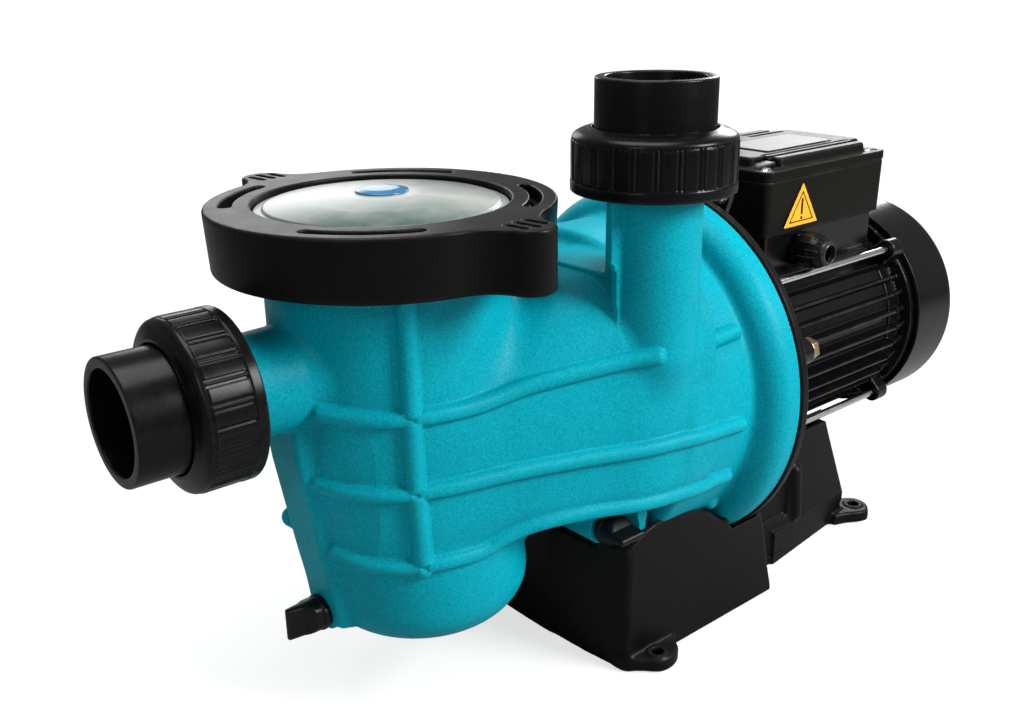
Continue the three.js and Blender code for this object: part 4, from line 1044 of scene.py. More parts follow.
# Name, facing, outer end and sealing face of each union; name, facing and face of each drain
UNIONS = (("suction", "-x", (SUCTION_END, 0, SUCTION_Z), (SUCTION_SEAT, 0, SUCTION_Z)),
          ("discharge", "z", (RISER_X, RISER_Y, RISER_TOP), (RISER_X, RISER_Y, RISER_SEAT)))
DRAINS = (("pot_drain", "-x", POT_DRAIN), ("volute_drain", "-y", VOLUTE_DRAIN))


def nut_field(x, y, z):
    radius = length(x, y)
    around = np.abs(fold(np.arctan2(y, x), 15)) * 42
    # thin upright ridge in each panel and a shallow raised pad on both sides of it
    ridge = np.clip(1.0 - around / 0.7, 0, 1) * 0.75
    pad = np.clip((3.7 - np.abs(around - 5.5)) / 0.4, 0, 1) * 0.38
    grip = np.clip(np.minimum(z + 50.2, -30.3 - z) / 0.5, 0, 1)
    outer = nut_radius(z) + (ridge + pad) * grip
    shape = corner(radius - outer, np.abs(z + 40.1) - 15.9, 0.7)
    shape = cut(shape, overlap(radius - 37.5, z + 30.6), 0.4)
    return cut(shape, radius - 31.35, 0.6)


def plug_field(x, y, z):
    """round head pinched to a grip, with a band below it and a threaded shank"""
    head = corner(length(x, y) - 9.3, np.abs(z - 12.9) - 10.5, 1.2)
    half = lookup(z, [2, 9.5, 14.5, 24], [9.6, 8.8, 3.6, 1.9])
    shape = blend_overlap(head, (np.abs(y) - half) * 0.8, 2.2)
    shape = blend(shape, cyl("z", x, y, z, (0, 0, 0), 9.9, 2.4, 5.2, 0.6), 0.6)
    shank = cyl("z", x, y, z, (0, 0, 0), 6.2, -12, 4, 0.6)
    return join(shape, shank + np.where(z < 0, thread(x, y, z, 2.0, 0.5), 0))


def add_ports():
    nut = field_object("suction_nut_moulding", nut_field, (-44, -44, -57), (44, 44, -25), 0.72)
    nuts = [nut, clone(nut, "discharge_nut_moulding")]
    for nut, (name, facing, end, _) in zip(nuts, UNIONS):
        piece(move(nut, end, FACING[facing]), name + "_nut", "union_plastic",
              name + "_union_nut")
    for name, facing, end, _ in UNIONS:
        tail = lathe(name + "_tail_socket", TAIL_PROFILE, "z", (0, 0, 0), 160, 32)
        piece(move(tail, end, FACING[facing]), name + "_tail", "union_plastic",
              name + "_union_tail")
    for name, facing, _, seat in UNIONS:
        seal = lathe(name + "_face_seal", FACE_SEAL_PROFILE, "z", (0, 0, 0), 96, 40)
        piece(move(seal, seat, FACING[facing]), "casing", "seal_rubber", name + "_union_oring")
    plug = field_object("pot_drain_moulding", plug_field, (-10.5, -10.5, -12.5),
                        (10.5, 10.5, 24), 0.42)
    plugs = [plug, clone(plug, "volute_drain_moulding")]
    for plug, (name, facing, face) in zip(plugs, DRAINS):
        piece(move(plug, face, FACING[facing]), name, "plug_plastic", name + "_plug")
    for name, facing, face in DRAINS:
        seal = lathe(name + "_seal_ring", DRAIN_SEAL_PROFILE, "z", (0, 0, 0), 64, 40, 4)
        piece(move(seal, face, FACING[facing]), name + "_seal", "seal_rubber", name + "_oring")


# =========================================================================
# Seal plate, bracket, bolts and tie rods
# =========================================================================
def plate_field(x, y, z):
    radius = shaft_polar(y, z)[0]
    shape = corner(radius - 117, np.abs(x - 3.05) - 2.75, 0.9)
    shape = np.maximum(shape, np.where(radius < 56, x - 5.8, shape))
    hub = cone("x", x, y, z, SHAFT, [-38, -14, 0, 5.8], [19, 30, 56, 57], 0.5)
    inner = cone("x", x, y, z, SHAFT, [-27.4, -12, 7], [18.5, 20, 20])
    shape = join(shape, cut(hub, inner))
    shape = cut(shape, cyl("x", x, y, z, SHAFT, 10.6, -60, 20))
    shape = cut(shape, cyl("x", x, y, z, SHAFT, 15.9, -42, -30))
    return bores(shape, x, y, z, BOLTS, 4.3, -5, 12)


def bracket_field(x, y, z):
    radius, angle = shaft_polar(y, z)
    outer = lookup(x, [7.1, 12, 17, 32, 45.7], [99, 98, 88, 71.5, 71])
    shape = corner((radius - outer) * 0.75, np.abs(x - 26.4) - 19.3, 1.5)
    inner = lookup(x, [7, 28, 36, 42, 46], [66, 62, 56, 56, 58])
    cavity = overlap(radius - inner, slab(x, 0, 34))
    shape = cut(shape, cut(cavity, cyl("x", x, y, z, SHAFT, 25, 22, 46)), 1.5)
    for cy, cz in BOLTS:
        shape = blend(shape, cyl("x", x, y, z, (0, cy, cz), 8.2, 7.1, 18, 1.0), 3)
    # tab that carries the plated screw
    tab = rod(14.5, y, z, (14.5, -29, 232), (14.5, -38.5, 260.5), 7.6)
    shape = blend(shape, corner(tab, np.abs(x - 14.6) - 2.2, 0.6), 1.5)
    ear = tie_rod_ear(radius, angle, 6.5, 77, 76)
    shape = blend(shape, corner(ear, np.abs(x - 37.8) - 7.9, 0.8), 2)
    # ribs from the bolt bosses to the motor
    along, across = sector(radius, fold(angle - rad(BOLT_START), 60))
    web = overlap(np.abs(across) - 2.2, along - lookup(x, [7, 14, 34], [104, 100, 72]),
                  60 - along, slab(x, 8, 34))
    shape = blend(shape, web, 2)
    shape = bores(shape, x, y, z, BOLTS, 4.3, 5, 30)
    shape = bores(shape, x, y, z, RODS, 3.1, 28, 60)
    shape = cut(shape, cyl("x", x, y, z, SHAFT, 18.8, 28.6, 50))
    return cut(shape, cyl("x", x, y, z, SHAFT, 11, 0, 50))


def bolt_field(x, y, z):
    """bolt along +Z, head up"""
    shank = cyl("z", x, y, z, (0, 0, 0), 3.9, -9.4, 19, 0.7)
    shank = shank + np.where(z < 6, thread(x, y, z, 1.25, 0.5), 0)
    head = overlap(hexagon(x, y, 12.5), np.abs(z - 21.6) - 2.9,
                   (length(x, y) + (z - 24.5) * 1.8) - 6.7)
    flange = cyl("z", x, y, z, (0, 0, 0), 7.1, 18.35, 19.9, 0.5)
    return join(shank, blend(head, flange, 0.6))


# Closed profiles as (x, radius[, rounding])
PLATED_SCREW_PROFILE = [
    (12.5, 0), (12.5, 6.0, .4), (11.6, 6.0, .4), (11.2, 5.0, .3), (8.4, 4.8, .9),
    (8.0, 2.4, .5), (8.7, 2.0, .2), (8.7, 0)]
TIE_ROD_PROFILE = [
    (36, 0), (36, 2.5, .6), (190.2, 2.5), (190.2, 4.6, .4), (191.0, 4.6, .3),
    (191.0, 3.9, .2), (193.6, 3.7, .5), (194.0, 0)]


def add_bolts():
    master = field_object("bolt_master", bolt_field, (-8, -8, -10), (8, 8, 25), 0.42)
    for i, (y, z) in enumerate(BOLTS):
        turn = Matrix.Rotation(rad(90), 4, "Y") @ Matrix.Rotation(rad(10 + 17 * i), 4, "Z")
        bolt = move(clone(master, f"hex_bolt_{i + 1}"), (0, y, z), turn)
        piece(bolt, "casing", "bolt_brass", f"casing_bolt_{i + 1}")
    bpy.data.objects.remove(master)
    screw = lathe("plated_screw", PLATED_SCREW_PROFILE, "x", (0, -38.5, 260.5), 48, 30, 4)
    piece(screw, "casing", "bright_steel")


def add_tie_rods():
    for i, (y, z) in enumerate(RODS):
        bar = lathe(f"tie_rod_bar_{i + 1}", TIE_ROD_PROFILE, "x", (0, y, z), 40, 35, 3)
        # the two lower rods take the darker bright_steel finish: painted shade
        piece(bar, "casing", "rod_steel" if i < 2 else "bright_steel", f"tie_rod_{i + 1}")


def add_bracket():
    moulding("seal_plate_moulding", plate_field, (-39, -118, 29), (7, 118, 266), 1.15,
             "casing", "black_plastic", "seal_plate")
    moulding("motor_bracket_casting", bracket_field, (6, -118, 30), (47, 118, 264), 1.1,
             "casing", "motor_paint", "motor_bracket")


# =========================================================================
# Motor frame, end shield, fan and fan cover
# =========================================================================
FRAME_RADIUS = 61.3
BARE_TOP = 31       # degrees each side of straight up that have no fins


def fin_offset(radius, degrees):
    """distance from the middle of the nearest cooling fin; they are 10 degrees apart"""
    return np.abs(np.sin(np.radians((degrees + 5) % 10 - 5))) * radius


def frame_field(x, y, z):
    radius, angle = shaft_polar(y, z)
    degrees = np.degrees(angle)
    shape = overlap(radius - FRAME_RADIUS, slab(x, 46, 178))
    # fins beside the tie rods are shorter
    from_rod = join(*[degrees_from(degrees, rod_at) for rod_at in (45, -45, 135, -135)])
    tip = np.where(from_rod < 5.2, 67.0, 70.0).astype(F)
    half = lookup(radius, [60, 70], [1.35, 0.95])
    fin = overlap(corner(fin_offset(radius, degrees) - half, radius - tip, 0.5),
                  slab(x, 48, 176))
    fin = np.where(degrees_from(degrees, 90) < BARE_TOP, radius - FRAME_RADIUS, fin)
    shape = blend(shape, overlap(fin, 58 - radius), 1.2)
    # pedestal under the terminal box, with slanted lower edges
    pedestal = polygon(y, z, [(-44, 200), (-44, 229), (44, 229), (44, 200), (32, 190),
                              (-32, 190)])
    shape = blend(shape, corner(pedestal - 0.4, np.abs(x - 111) - 58.6, 1.6), 2.5)
    shape = cut(shape, box(x, y, z, (60, -38, 207.5), (162, 38, 240), 2))
    shape = cut(shape, radius - 55)
    return cut(shape, cyl("y", x, y, z, (GLAND_X, 0, GLAND_Z), 8.4, -50, -30))


def shield_field(x, y, z):
    radius, angle = shaft_polar(y, z)
    outer = lookup(x, [178.3, 188.6, 190.6, 201], [62.5, 62.5, 72, 72])
    shape = corner((radius - outer) * 0.8, np.abs(x - 189.6) - 11.3, 0.7)
    degrees = np.degrees(angle)
    fin = overlap(fin_offset(radius, degrees) - 1.2, radius - 69.6 + (x - 178.3) * 0.25,
                  np.abs(x - 184.6) - 6.3, 58 - radius)
    fin = np.where(degrees_from(degrees, 90) < BARE_TOP, shape, fin)
    shape = blend(shape, fin, 0.8)
    rear_cavity = overlap(radius - lookup(x, [188.5, 201.5], [26, 69.5]), 189 - x, -5)
    shape = cut(shape, rear_cavity, 1)
    front_cavity = overlap(radius - 60, x - lookup(radius, [24, 60], [176, 184]))
    shape = cut(shape, front_cavity, 1)
    shape = join(shape, cyl("x", x, y, z, SHAFT, 25, 174, 189, 0.8))
    shape = cut(shape, cyl("x", x, y, z, SHAFT, 18.8, 170, 187))
    shape = cut(shape, cyl("x", x, y, z, SHAFT, 11, 170, 220))
    ear = tie_rod_ear(radius, angle, 7, 76, 75.5)
    shape = blend(shape, corner(ear, np.abs(x - 184.3) - 5.9, 0.9), 2.2)
    return bores(shape, x, y, z, RODS, 3.1, 170, 200)


def cover_field(x, y, z):
    radius, angle = shaft_polar(y, z)
    shape = overlap(corner(radius - 76, slab(x, 185, 244), 9.0), 195 - x)
    shape = cut(shape, corner(radius - 73.9, x - 241.9, 7.2))
    shape = blend_overlap(shape, 195 - x, 0.5)
    # two sets of grille slots in the end
    for centre, start, end in ((0, 17.9, 58.1), (0.5, 36.5, 59.5)):
        along, across = sector(radius, fold(angle, 30, centre))
        slot = long_hole(along, across, start, end, 2.5)
        shape = cut(shape, overlap(slot, 230 - x), 0.8)
    return shape


def fan_field(x, y, z):
    radius, angle = shaft_polar(y, z)
    hub = corner(radius - 14, slab(x, 204, 222), 1)
    disc = corner(radius - 50, slab(x, 204, 206), 0.4)
    blade = overlap(np.abs(radius * np.sin(fold(angle, 40))) - 1.0, np.abs(x - 213) - 8.8,
                    radius - lookup(x, [204, 212, 222], [61.5, 61.5, 54]), 10 - radius)
    return cut(blend(blend(hub, disc, 1.5), blade, 1.2), radius - 6.7)


def add_motor():
    moulding("motor_frame_casting", frame_field, (45, -72, 76), (179, 72, 230), 1.0,
             "casing", "motor_paint", "motor_frame")
    moulding("end_shield_casting", shield_field, (173, -84, 64), (202, 84, 231), 1.0,
             "casing", "motor_paint", "rear_end_shield")
    moulding("fan_cover_moulding", cover_field, (194, -77, 70), (245, 77, 224.5), 0.9,
             "fan_cover", "cover_plastic", "fan_cover")
    moulding("cooling_fan_moulding", fan_field, (203, -63, 84), (223, 63, 211), 1.0,
             "rotor", "black_plastic", "cooling_fan")


# =========================================================================
# Terminal box, cable gland and label
# =========================================================================
BOX_START, BOX_END, BOX_HALF = 46.0, 175.5, 48.5    # x range and half width in y
BOX_MID = (BOX_START + BOX_END) / 2
TRAY_TOP = 264.3
COVER_Z = 264.6             # underside of the box lid
SCREW_INSET = 8.5
SCREWS = [(BOX_START + SCREW_INSET, -BOX_HALF + SCREW_INSET),
          (BOX_END - SCREW_INSET, -BOX_HALF + SCREW_INSET),
          (BOX_END - SCREW_INSET, BOX_HALF - SCREW_INSET),
          (BOX_START + SCREW_INSET, BOX_HALF - SCREW_INSET)]
# Grooves in the lid top: y, x start, x end, half width
LID_GROOVES = ((-34.5, 64, 158, 1.9), (33.5, 60, 98, 1.8), (33.5, 122, 160, 1.8),
               (26.5, 60, 98, 1.8), (26.5, 122, 160, 1.8), (-28.2, 64, 158, 1.2))


def box_plan(x, y, grow, radius):
    """rounded outline of the box seen from above"""
    return quarter(np.abs(x - BOX_MID) - ((BOX_END - BOX_START) / 2 + grow - radius),
                   np.abs(y) - (BOX_HALF + grow - radius)) - radius


def tray_field(x, y, z):
    draft = (z - TRAY_TOP) * 0.018
    shape = corner(box_plan(x, y, 0.0, 6) - draft, np.abs(z - 246.8) - 17.5, 1.0)
    shape = cut(shape, overlap(box_plan(x, y, -3.0, 4), 232.3 - z), 0.6)
    for sx, sy in SCREWS:
        shape = blend(shape, cyl("z", x, y, z, (sx, sy, 0), 5.4, 231, TRAY_TOP, 0.2), 1.2)
    for sx, sy in SCREWS:
        shape = cut(shape, cyl("z", x, y, z, (sx, sy, 0), 2.2, 237, 270))
    return cut(shape, cyl("z", x, y, z, (115, 0, 0), 9, 220, 236))


def box_lid_field(x, y, z):
    skirt = corner(box_plan(x, y, 0.3, 6.2), np.abs(z - (COVER_Z + 3)) - 3, 0.9)
    inset = lookup(z, [COVER_Z + 3, COVER_Z + 11, COVER_Z + 12.6], [-4.2, -5.6, -6.2])
    # raised middle, notched at the corners round the screws
    sx, sy = SCREWS[0]
    notched = join(np.abs(x - BOX_MID) - (abs(sx - BOX_MID) - 9.5), np.abs(y) - (abs(sy) - 9.5))
    side = blend_overlap(box_plan(x, y, 0, 3) - inset, notched, 4)
    plateau = overlap(corner(side, z - (COVER_Z + 12.5), 1.4), COVER_Z + 3 - z)
    shape = blend(skirt, plateau, 1.6)
    for at, start, end, half in LID_GROOVES:
        groove = long_hole(x, y - at, start, end, half)
        shape = cut(shape, overlap(groove, COVER_Z + 10.9 - z), 0.7)
    # sunk bed of the rating plate
    bed = box(x, y, z, (75.4, -24.6, COVER_Z + 12.0), (146.6, 12.6, COVER_Z + 20), 1.0)
    shape = cut(shape, bed, 0.3)
    hollow = overlap(box_plan(x, y, -9.5, 5), np.abs(z - (COVER_Z + 4)) - 5.5)
    shape = cut(shape, hollow, 0.8)
    shape = cut(shape, overlap(box_plan(x, y, -3.0, 4), z - (COVER_Z + 2.8)))
    for sx, sy in SCREWS:
        at = (sx, sy, 0)
        shape = join(shape, cyl("z", x, y, z, at, 5.0, COVER_Z, COVER_Z + 4.6, 0.2))
        shape = cut(shape, cyl("z", x, y, z, at, 2.7, COVER_Z - 3, COVER_Z + 8))
        shape = cut(shape, cyl("z", x, y, z, at, 4.9, COVER_Z + 4.6, COVER_Z + 22))
    return shape


def screw_field(x, y, z):
    """pan head with a cross recess, head underside at z = 0"""
    radius = length(x, y)
    head = overlap(length(radius, z + 3.0) - 5.7, -z, radius - 4.3)
    wide, deep = np.abs(x), np.abs(y)
    cross = join(overlap(wide - 0.55, deep - 2.3), overlap(deep - 0.55, wide - 2.3))
    head = cut(head, overlap(cross, 1.2 - z))
    shank = cyl("z", x, y, z, (0, 0, 0), 1.85, -15, 0.5, 0.4)
    return join(head, shank + thread(x, y, z, 1.2, 0.3))


def rating_plate_field(x, y, z):
    plan = corner(slab(x, 76, 146), slab(y, -24, 12), 2.0)
    return corner(plan, np.abs(z - 277.75) - 0.3, 0.15)


def gland_body_field(x, y, z):
    x, z = x - GLAND_X, z - GLAND_Z
    radius = length(x, z)
    middle = np.abs(y + 46.8)
    shape = overlap(hexagon(x, z, 20.6), middle - 2.5,
                    radius - 11.7 + np.maximum(middle - 1.9, 0))
    shape = join(shape, corner(radius - 7.6, np.abs(y + 50) - 11, 0.5))
    return cut(shape, radius - 5.2)


def gland_nut_field(x, y, z):
    x, z = x - GLAND_X, z - GLAND_Z
    radius = length(x, z)
    middle = np.abs(y + 58.5)
    outer = lookup(-y, [50.1, 59, 63, 66, 67], [11.5, 11.2, 9.9, 7.9, 7.0])
    shape = corner((radius - outer) * 0.85, middle - 8.4, 0.7)
    flats = overlap(hexagon(x, z, 20.6), np.abs(y + 54.5) - 4.4, radius - 11.8)
    shape = blend(shape, flats, 0.8)
    ribs = overlap(np.abs(fold(np.arctan2(z, x), 24)) * 10.5 - 0.5, radius - (outer + 0.45),
                   8 - radius, middle - 6.5)
    shape = cut(join(shape, ribs), overlap(radius - 8.2, -(y + 61.6)))
    return cut(shape, radius - 5.4)


def terminal_block_field(x, y, z):
    shape = box(x, y, z, (70, -34, 232.7), (128, -8, 246.2), 1.0)
    for at in (78, 92, 106, 120):
        shape = cut(shape, cyl("z", x, y, z, (at, -21, 0), 3, 239, 260), 0.4)
        entry = box(x, y, z, (at - 2.4, -36, 236), (at + 2.4, -30, 242), 0.3)
        shape = cut(shape, entry, 0.4)
    for at in (85, 99, 113):
        shape = cut(shape, box(x, y, z, (at - 0.7, -36, 235), (at + 0.7, -6, 250), 0.2), 0.3)
    return shape


# Closed profiles as (along, radius[, rounding]); the insert's is mirrored to -Y
INSERT_PROFILE = [(60.5, 5.6, .3), (60.5, 8.0, .4), (67.6, 8.0, 1.2), (69.6, 6.4, 1.6),
                  (69.6, 5.6, .3)]
CAPACITOR_PROFILE = [(62, 0), (62, 13, 1.5), (143, 13, 1.2), (144, 12.2, .5), (146, 12.2, .5),
                     (146, 9.5, .4), (149, 9.5, .6), (149, 0)]


def add_terminal_box():
    moulding("terminal_box_tray", tray_field, (45, -49.5, 228.5), (176.5, 49.5, 265), 0.9,
             "casing", "box_plastic", "terminal_box")
    moulding("terminal_box_cover", box_lid_field, (45, -49.8, 264), (176.8, 49.8, 278), 0.7,
             "box_lid", "box_plastic", "terminal_box_lid")
    master = field_object("screw_master", screw_field, (-5, -5, -16), (5, 5, 3.2), 0.32)
    for i, (x, y) in enumerate(SCREWS):
        screw = move(clone(master, f"cover_screw_{i + 1}"), (x, y, COVER_Z + 4.75),
                     Matrix.Rotation(rad(20 + 37 * i), 4, "Z"))
        piece(screw, "box_lid", "bright_steel", f"box_lid_screw_{i + 1}")
    bpy.data.objects.remove(master)
    moulding("rating_plate_blank", rating_plate_field, (75.5, -24.5, 277.2),
             (146.5, 12.5, 278.3), 0.3, "box_lid", "plate_metal", "rating_plate")


def add_gland():
    moulding("gland_body_moulding", gland_body_field, (74.5, -62, 204.5), (99.5, -38.5, 229.3),
             0.6, "casing", "plug_plastic", "cable_gland_body")
    moulding("gland_nut_moulding", gland_nut_field, (74.5, -67.5, 204.5), (99.5, -49.5, 229.3),
             0.5, "gland_nut", "plug_plastic", "cable_gland_nut")
    insert = lathe("gland_insert", INSERT_PROFILE, "y", (GLAND_X, 0, GLAND_Z), 56, 35, 4)
    insert.data.transform(Matrix.Scale(-1, 4, Vector((0, 1, 0))))
    insert.data.flip_normals()
    piece(insert, "gland_nut", "clear_insert")


def add_box_contents():
    capacitor = lathe("capacitor_can", CAPACITOR_PROFILE, "x", (0, 20, 246.3), 72, 35, 4)
    piece(capacitor, "casing", "capacitor_white", "capacitor")
    moulding("terminal_block_moulding", terminal_block_field, (69, -35, 232), (129, -7, 247),
             0.6, "casing", "impeller_plastic", "terminal_block")


LABEL_Y = -48.8
LABEL_CENTRE = np.array([82.0, 242.3])      # x, z
LABEL_CORNERS = [(64.6, 233.4), (99.4, 233.4), (82, 260.0)]


def label_triangle(x, z, inset):
    return polygon(x, z, [LABEL_CENTRE + (np.array(point) - LABEL_CENTRE) * (1 - inset)
                          for point in LABEL_CORNERS])


def hazard_field(x, y, z):
    return corner(label_triangle(x, z, 0.04) - 0.7, np.abs(y - (LABEL_Y - 0.14)) - 0.14, 0.05)


def hazard_ink_field(x, y, z):
    """triangular outline round an upright bar and a dot"""
    outline = cut(label_triangle(x, z, 0.30) - 0.5, label_triangle(x, z, 0.40) - 0.4)
    bar = rod(x, 0.0, z, (82, 0, 241), (82, 0, 249.6), 1.15)
    dot = length(x - 82, z - 237.9) - 1.2
    return corner(join(outline, bar, dot), np.abs(y - (LABEL_Y - 0.36)) - 0.12, 0.03)


def add_label():
    """warning triangle on the near wall of the terminal box"""
    for name, field, depth, spacing, material, node in (
            ("hazard_field", hazard_field, 0.28, 0.28, "label_yellow", "hazard_label"),
            ("hazard_ink", hazard_ink_field, 0.5, 0.24, "label_ink", None)):
        moulding(name, field, (63, LABEL_Y - depth - 0.5, 232), (101, LABEL_Y + 0.5, 261.5),
                 spacing, "casing", material, node)


# =========================================================================
# Base
# =========================================================================
# Outlines seen from the side, as (x, z): front block, rear pedestal and its hollow
BLOCK_SIDE = [(-125, -1), (34.2, -1), (27.6, 21), (21.5, 48.5), (15.9, 64), (11.6, 70.2),
              (-22, 70.8), (-27.5, 75.4), (-33, 80), (-41, 84.4), (-51, 87.6), (-63, 89.6),
              (-75, 90.6), (-83, 90.2), (-90, 88.4), (-97, 85), (-103, 81), (-108, 79),
              (-125, 79)]
PEDESTAL_SIDE = [(24, 0), (152, 0), (148.4, 20), (127, 71), (116, 98), (112, 101), (72, 101),
                 (68, 97), (40, 40), (24, 24)]
PEDESTAL_HOLLOW = [(20, 6), (146, 6), (142.6, 22), (121, 71), (108, 110), (74, 110), (44, 40),
                   (20, 24)]
# Foot holes: x, distance from the middle plane, rim radius, hole radius
FOOT_HOLES = ((-85.5, 88.6, 6.6, 3.4), (163, 58, 7.0, 3.8))
# Radius left clear round the shaft, by x
CLEARANCE = ([-100, -30, -22, -16, -12, 12, 12.5, 27, 27.5, 40, 50, 50.5, 190],
             [92.3, 92.3, 97.2, 114.8, 118.3, 118.3, 116.8, 116.8, 92, 86, 84, 73, 73])


def front_block(x, y, z):
    side = np.abs(y)
    # bowed front end, seen from above
    front = lookup(side, [0, 20, 28, 50, 74, 82], [-111, -110.6, -109.4, -108.4, -105.5, -104])
    plan = corner(overlap(front - x, x - 34), side - 82, 3.0)
    shape = blend_overlap(plan, polygon(x, z, BLOCK_SIDE), 2.0)
    shape = cut(shape, overlap(side - 78, front + 4.2 - x, x - 29.5, 6 - z), 1.2)
    # lowered ends between the side walls
    shape = cut(shape, box(x, y, z, (-135, -60, 75), (-98, 60, 115), 4), 1.2)
    shape = cut(shape, box(x, y, z, (22, -74, 20), (60, 74, 115), 2), 1.0)
    for at in (-86, -12):
        shape = blend(shape, overlap(np.abs(x - at) - 2, side - 80, slab(z, 2, 60)), 1.5)
    return shape


def pedestal(x, side, z):
    spread = np.where(x > 60, (x - 60) * np.interp(z, [0, 26], [0.10, 0.0]), 0).astype(F)
    wall = side - np.interp(z, [0, 26, 101], [61.5, 60, 57]).astype(F) + spread
    shape = blend_overlap(polygon(x, z, PEDESTAL_SIDE), wall, 3)
    hollow = overlap(polygon(x, z, PEDESTAL_HOLLOW),
                     side - lookup(z, [0, 26, 101], [57, 55.6, 53]))
    shape = cut(shape, hollow, 1.0)
    for at in (106, 74):
        shape = blend(shape, overlap(np.abs(x - at) - 2, side - 56, slab(z, 4, 64)), 1.5)
    return shape


def front_foot(x, side):
    plan = length(x + 80, side - 83.5) - 12.6
    plan = blend(plan, length(x + 86, side - 86.5) - 9.6, 6)
    plan = blend(plan, length(x + 96, side - 76.5) - 9.6, 8)
    return blend(plan, overlap(np.abs(x + 80) - 14, side - 83, 70 - side), 8)


def rear_foot(x, side):
    arm = polygon(x, side, [(138, 40), (163, 45.4), (163, 68.6), (138, 60)])
    return blend(length(x - 163, side - 57) - 11.6, arm, 8)


def base_field(x, y, z):
    side = np.abs(y)
    shape = blend(front_block(x, y, z), pedestal(x, side, z), 1.5)
    edge = side - np.interp(x, [28, 60, 152], [62, 62, 52]).astype(F)
    shape = join(shape, overlap(slab(x, 28, 152), edge, slab(z, 0, 6)))
    # upright rib and ledge on both sides of the pedestal
    rib = overlap(rod(x, side, z, (84, 58, 62), (86, 59, 30), 5.2), -9)
    shape = blend(shape, rib, 3)
    edge = side - np.interp(x, [58, 151], [63.5, 52.5])
    ledge = overlap(slab(x, 60, 148), edge, 50 - side, slab(z, 0, 24))
    shape = blend(shape, ledge, 4)
    for plan in (front_foot(x, side), rear_foot(x, side)):
        shape = blend(shape, corner(plan, slab(z, 0, 9), 2.2), 4)
    shape = cut(shape, box(x, side, z, (45, 56.6, 31), (77.5, 90, 84), 3), 1.5)
    shape = cut(shape, z, 1.0)
    # raised rims round the foot holes, then the holes
    for hx, hy, rim, _ in FOOT_HOLES:
        away = length(x - hx, side - hy)
        shape = blend(shape, corner(away - rim, np.abs(z - 5) - 4.9, 1.2), 1.2)
    holes = join(*[length(x - hx, side - hy) - hole for hx, hy, _, hole in FOOT_HOLES])
    shape = cut(shape, overlap(holes, z - 30), 0.7)
    # clearance for the casing, motor, lower tie rods and volute drain
    clear = shaft_polar(y, z)[0] - lookup(x, *CLEARANCE)
    shape = cut(shape, overlap(clear, -100 - x))
    shape = bores(shape, x, y, z, RODS[2:], 5.4, 40, 190)
    drain = cyl("y", x, y, z, (VOLUTE_DRAIN[0], 0, VOLUTE_DRAIN[2]), 13, -96, 20)
    return cut(shape, drain, 0.5)


def add_base():
    moulding("base_moulding", base_field, (-112.5, -98.5, -0.5), (176, 98.5, 102), 1.25,
             "casing", "black_plastic", "base")


# =========================================================================
# Inner pieces that keep their CAD shape: only their finish is set here
# =========================================================================
INNER = {
    "seal_rubber": ["casing_oring"],
    "seal_ceramic": ["seal_seat"],
    "seal_carbon": ["seal_rotating"],
    "impeller_plastic": ["diffuser", "impeller"],
    "bright_steel": ["front_bearing_outer", "rear_bearing_outer", "front_bearing_inner",
                     "rear_bearing_inner", "impeller_nut"],
    "rod_steel": ["motor_shaft"],
    "lamination_steel": ["stator_core", "rotor_core"],
    "copper_wire": ["stator_winding_front", "stator_winding_rear"]}


def finish_inner():
    for material, nodes in INNER.items():
        for node in nodes:
            slots = NODES[node].data.materials
            slots.clear()
            slots.append(MATERIALS[material])


# =========================================================================
# Floor, world, lights and camera, in metres
# =========================================================================
def floor_material():
    """pale floor that glows for the camera only, more with distance"""
    sh = Shader("pale_floor")
    clouds = sh.fade(sh.noise(3), 0.3, 0.7)
    sh.set({"Base Color": sh.mix(clouds, (0.36, 0.36, 0.36, 1), (0.38, 0.38, 0.38, 1)),
            "Roughness": 0.8, "Specular IOR Level": 0.05})
    camera_ray = sh.new("ShaderNodeLightPath").outputs["Is Camera Ray"]
    distance = sh.new("ShaderNodeVectorMath", {0: sh.position}, operation="LENGTH")
    away = sh.new("ShaderNodeMapRange", {
        "From Min": 0.3, "From Max": 2.6, "To Min": 0.66, "To Max": 1.0,
        "Value": distance.outputs["Value"]}, interpolation_type="SMOOTHSTEP")
    sh.set({"Emission Color": (1, 1, 1, 1),
            "Emission Strength": sh.math("MULTIPLY", camera_ray, away.outputs[0])})


def add_floor():
    bpy.ops.mesh.primitive_plane_add(size=400, location=(0.2, 0.6, -0.0003))
    floor = bpy.context.object
    floor.name = "floor"
    floor_material()
    floor.data.materials.append(MATERIALS["pale_floor"])


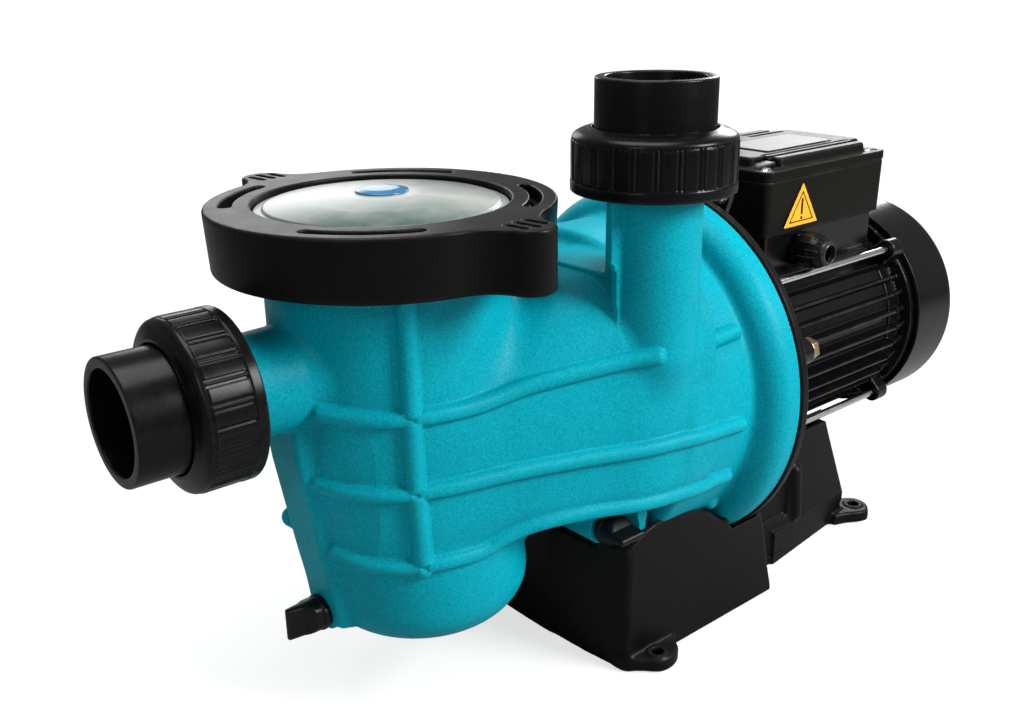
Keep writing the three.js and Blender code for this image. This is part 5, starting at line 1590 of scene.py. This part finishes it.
def add_world():
    """white to the camera, dim as a light"""
    world = bpy.data.worlds.new("studio")
    bpy.context.scene.world = world
    world.use_nodes = True
    tree = world.node_tree
    background = tree.nodes["Background"]
    background.inputs[0].default_value = (1.0, 1.0, 1.0, 1)
    light_path = tree.nodes.new("ShaderNodeLightPath")
    level = tree.nodes.new("ShaderNodeMapRange")
    level.inputs["To Min"].default_value = 0.24
    level.inputs["To Max"].default_value = 1.0
    tree.links.new(light_path.outputs["Is Camera Ray"], level.inputs["Value"])
    tree.links.new(level.outputs[0], background.inputs[1])


def area_light(name, place, aim, width, height, power):
    light = bpy.data.lights.new(name, "AREA")
    light.shape = "RECTANGLE"
    light.size = width
    light.size_y = height
    light.energy = power
    obj = link_object(bpy.data.objects.new(name, light))
    obj.location = place
    direction = Vector(aim) - Vector(place)
    obj.rotation_euler = direction.to_track_quat("-Z", "Y").to_euler()


def add_lights():
    area_light("key", (0.55, -1.25, 1.0), (-0.05, 0, 0.15), width=0.6, height=0.6, power=34)
    area_light("top", (-0.15, 0.1, 1.6), (-0.05, 0, 0.15), width=0.9, height=0.9, power=16)
    area_light("left", (-1.5, -0.55, 0.8), (-0.1, 0, 0.15), width=0.4, height=0.4, power=3)
    area_light("rim", (1.3, 0.7, 0.8), (0.1, 0, 0.15), width=0.5, height=0.4, power=7)
    back = bpy.data.lights.new("back", "POINT")
    back.energy = 14
    back.shadow_soft_size = 0.4
    back.specular_factor = 0.0
    link_object(bpy.data.objects.new("back", back)).location = (0.5, 1.6, 0.7)


def add_camera():
    turn, rise, roll = rad(-40.14), rad(20.01), rad(-0.82)
    place = (-0.50364, -0.45501, 0.39167)
    back = Vector((math.sin(turn) * math.cos(rise), -math.cos(turn) * math.cos(rise),
                   math.sin(rise)))
    level = Vector((math.cos(turn), math.sin(turn), 0))
    upright = back.cross(level)
    right = math.cos(roll) * level + math.sin(roll) * upright
    up = -math.sin(roll) * level + math.cos(roll) * upright
    camera = bpy.data.cameras.new("photo_view")
    camera.sensor_width = 36
    camera.lens = 38.480625
    camera.clip_start = 0.01
    obj = link_object(bpy.data.objects.new("photo_view", camera))
    obj.matrix_world = Matrix([*zip(right, up, back, place), (0, 0, 0, 1)])
    bpy.context.scene.camera = obj


add_floor()
add_world()
add_lights()
add_camera()
add_body()
add_lid()
add_basket()
add_ports()
add_bracket()
add_bolts()
add_tie_rods()
add_motor()
add_terminal_box()
add_gland()
add_box_contents()
add_label()
add_base()
finish_inner()
bpy.context.scene.view_settings.view_transform = "Standard"
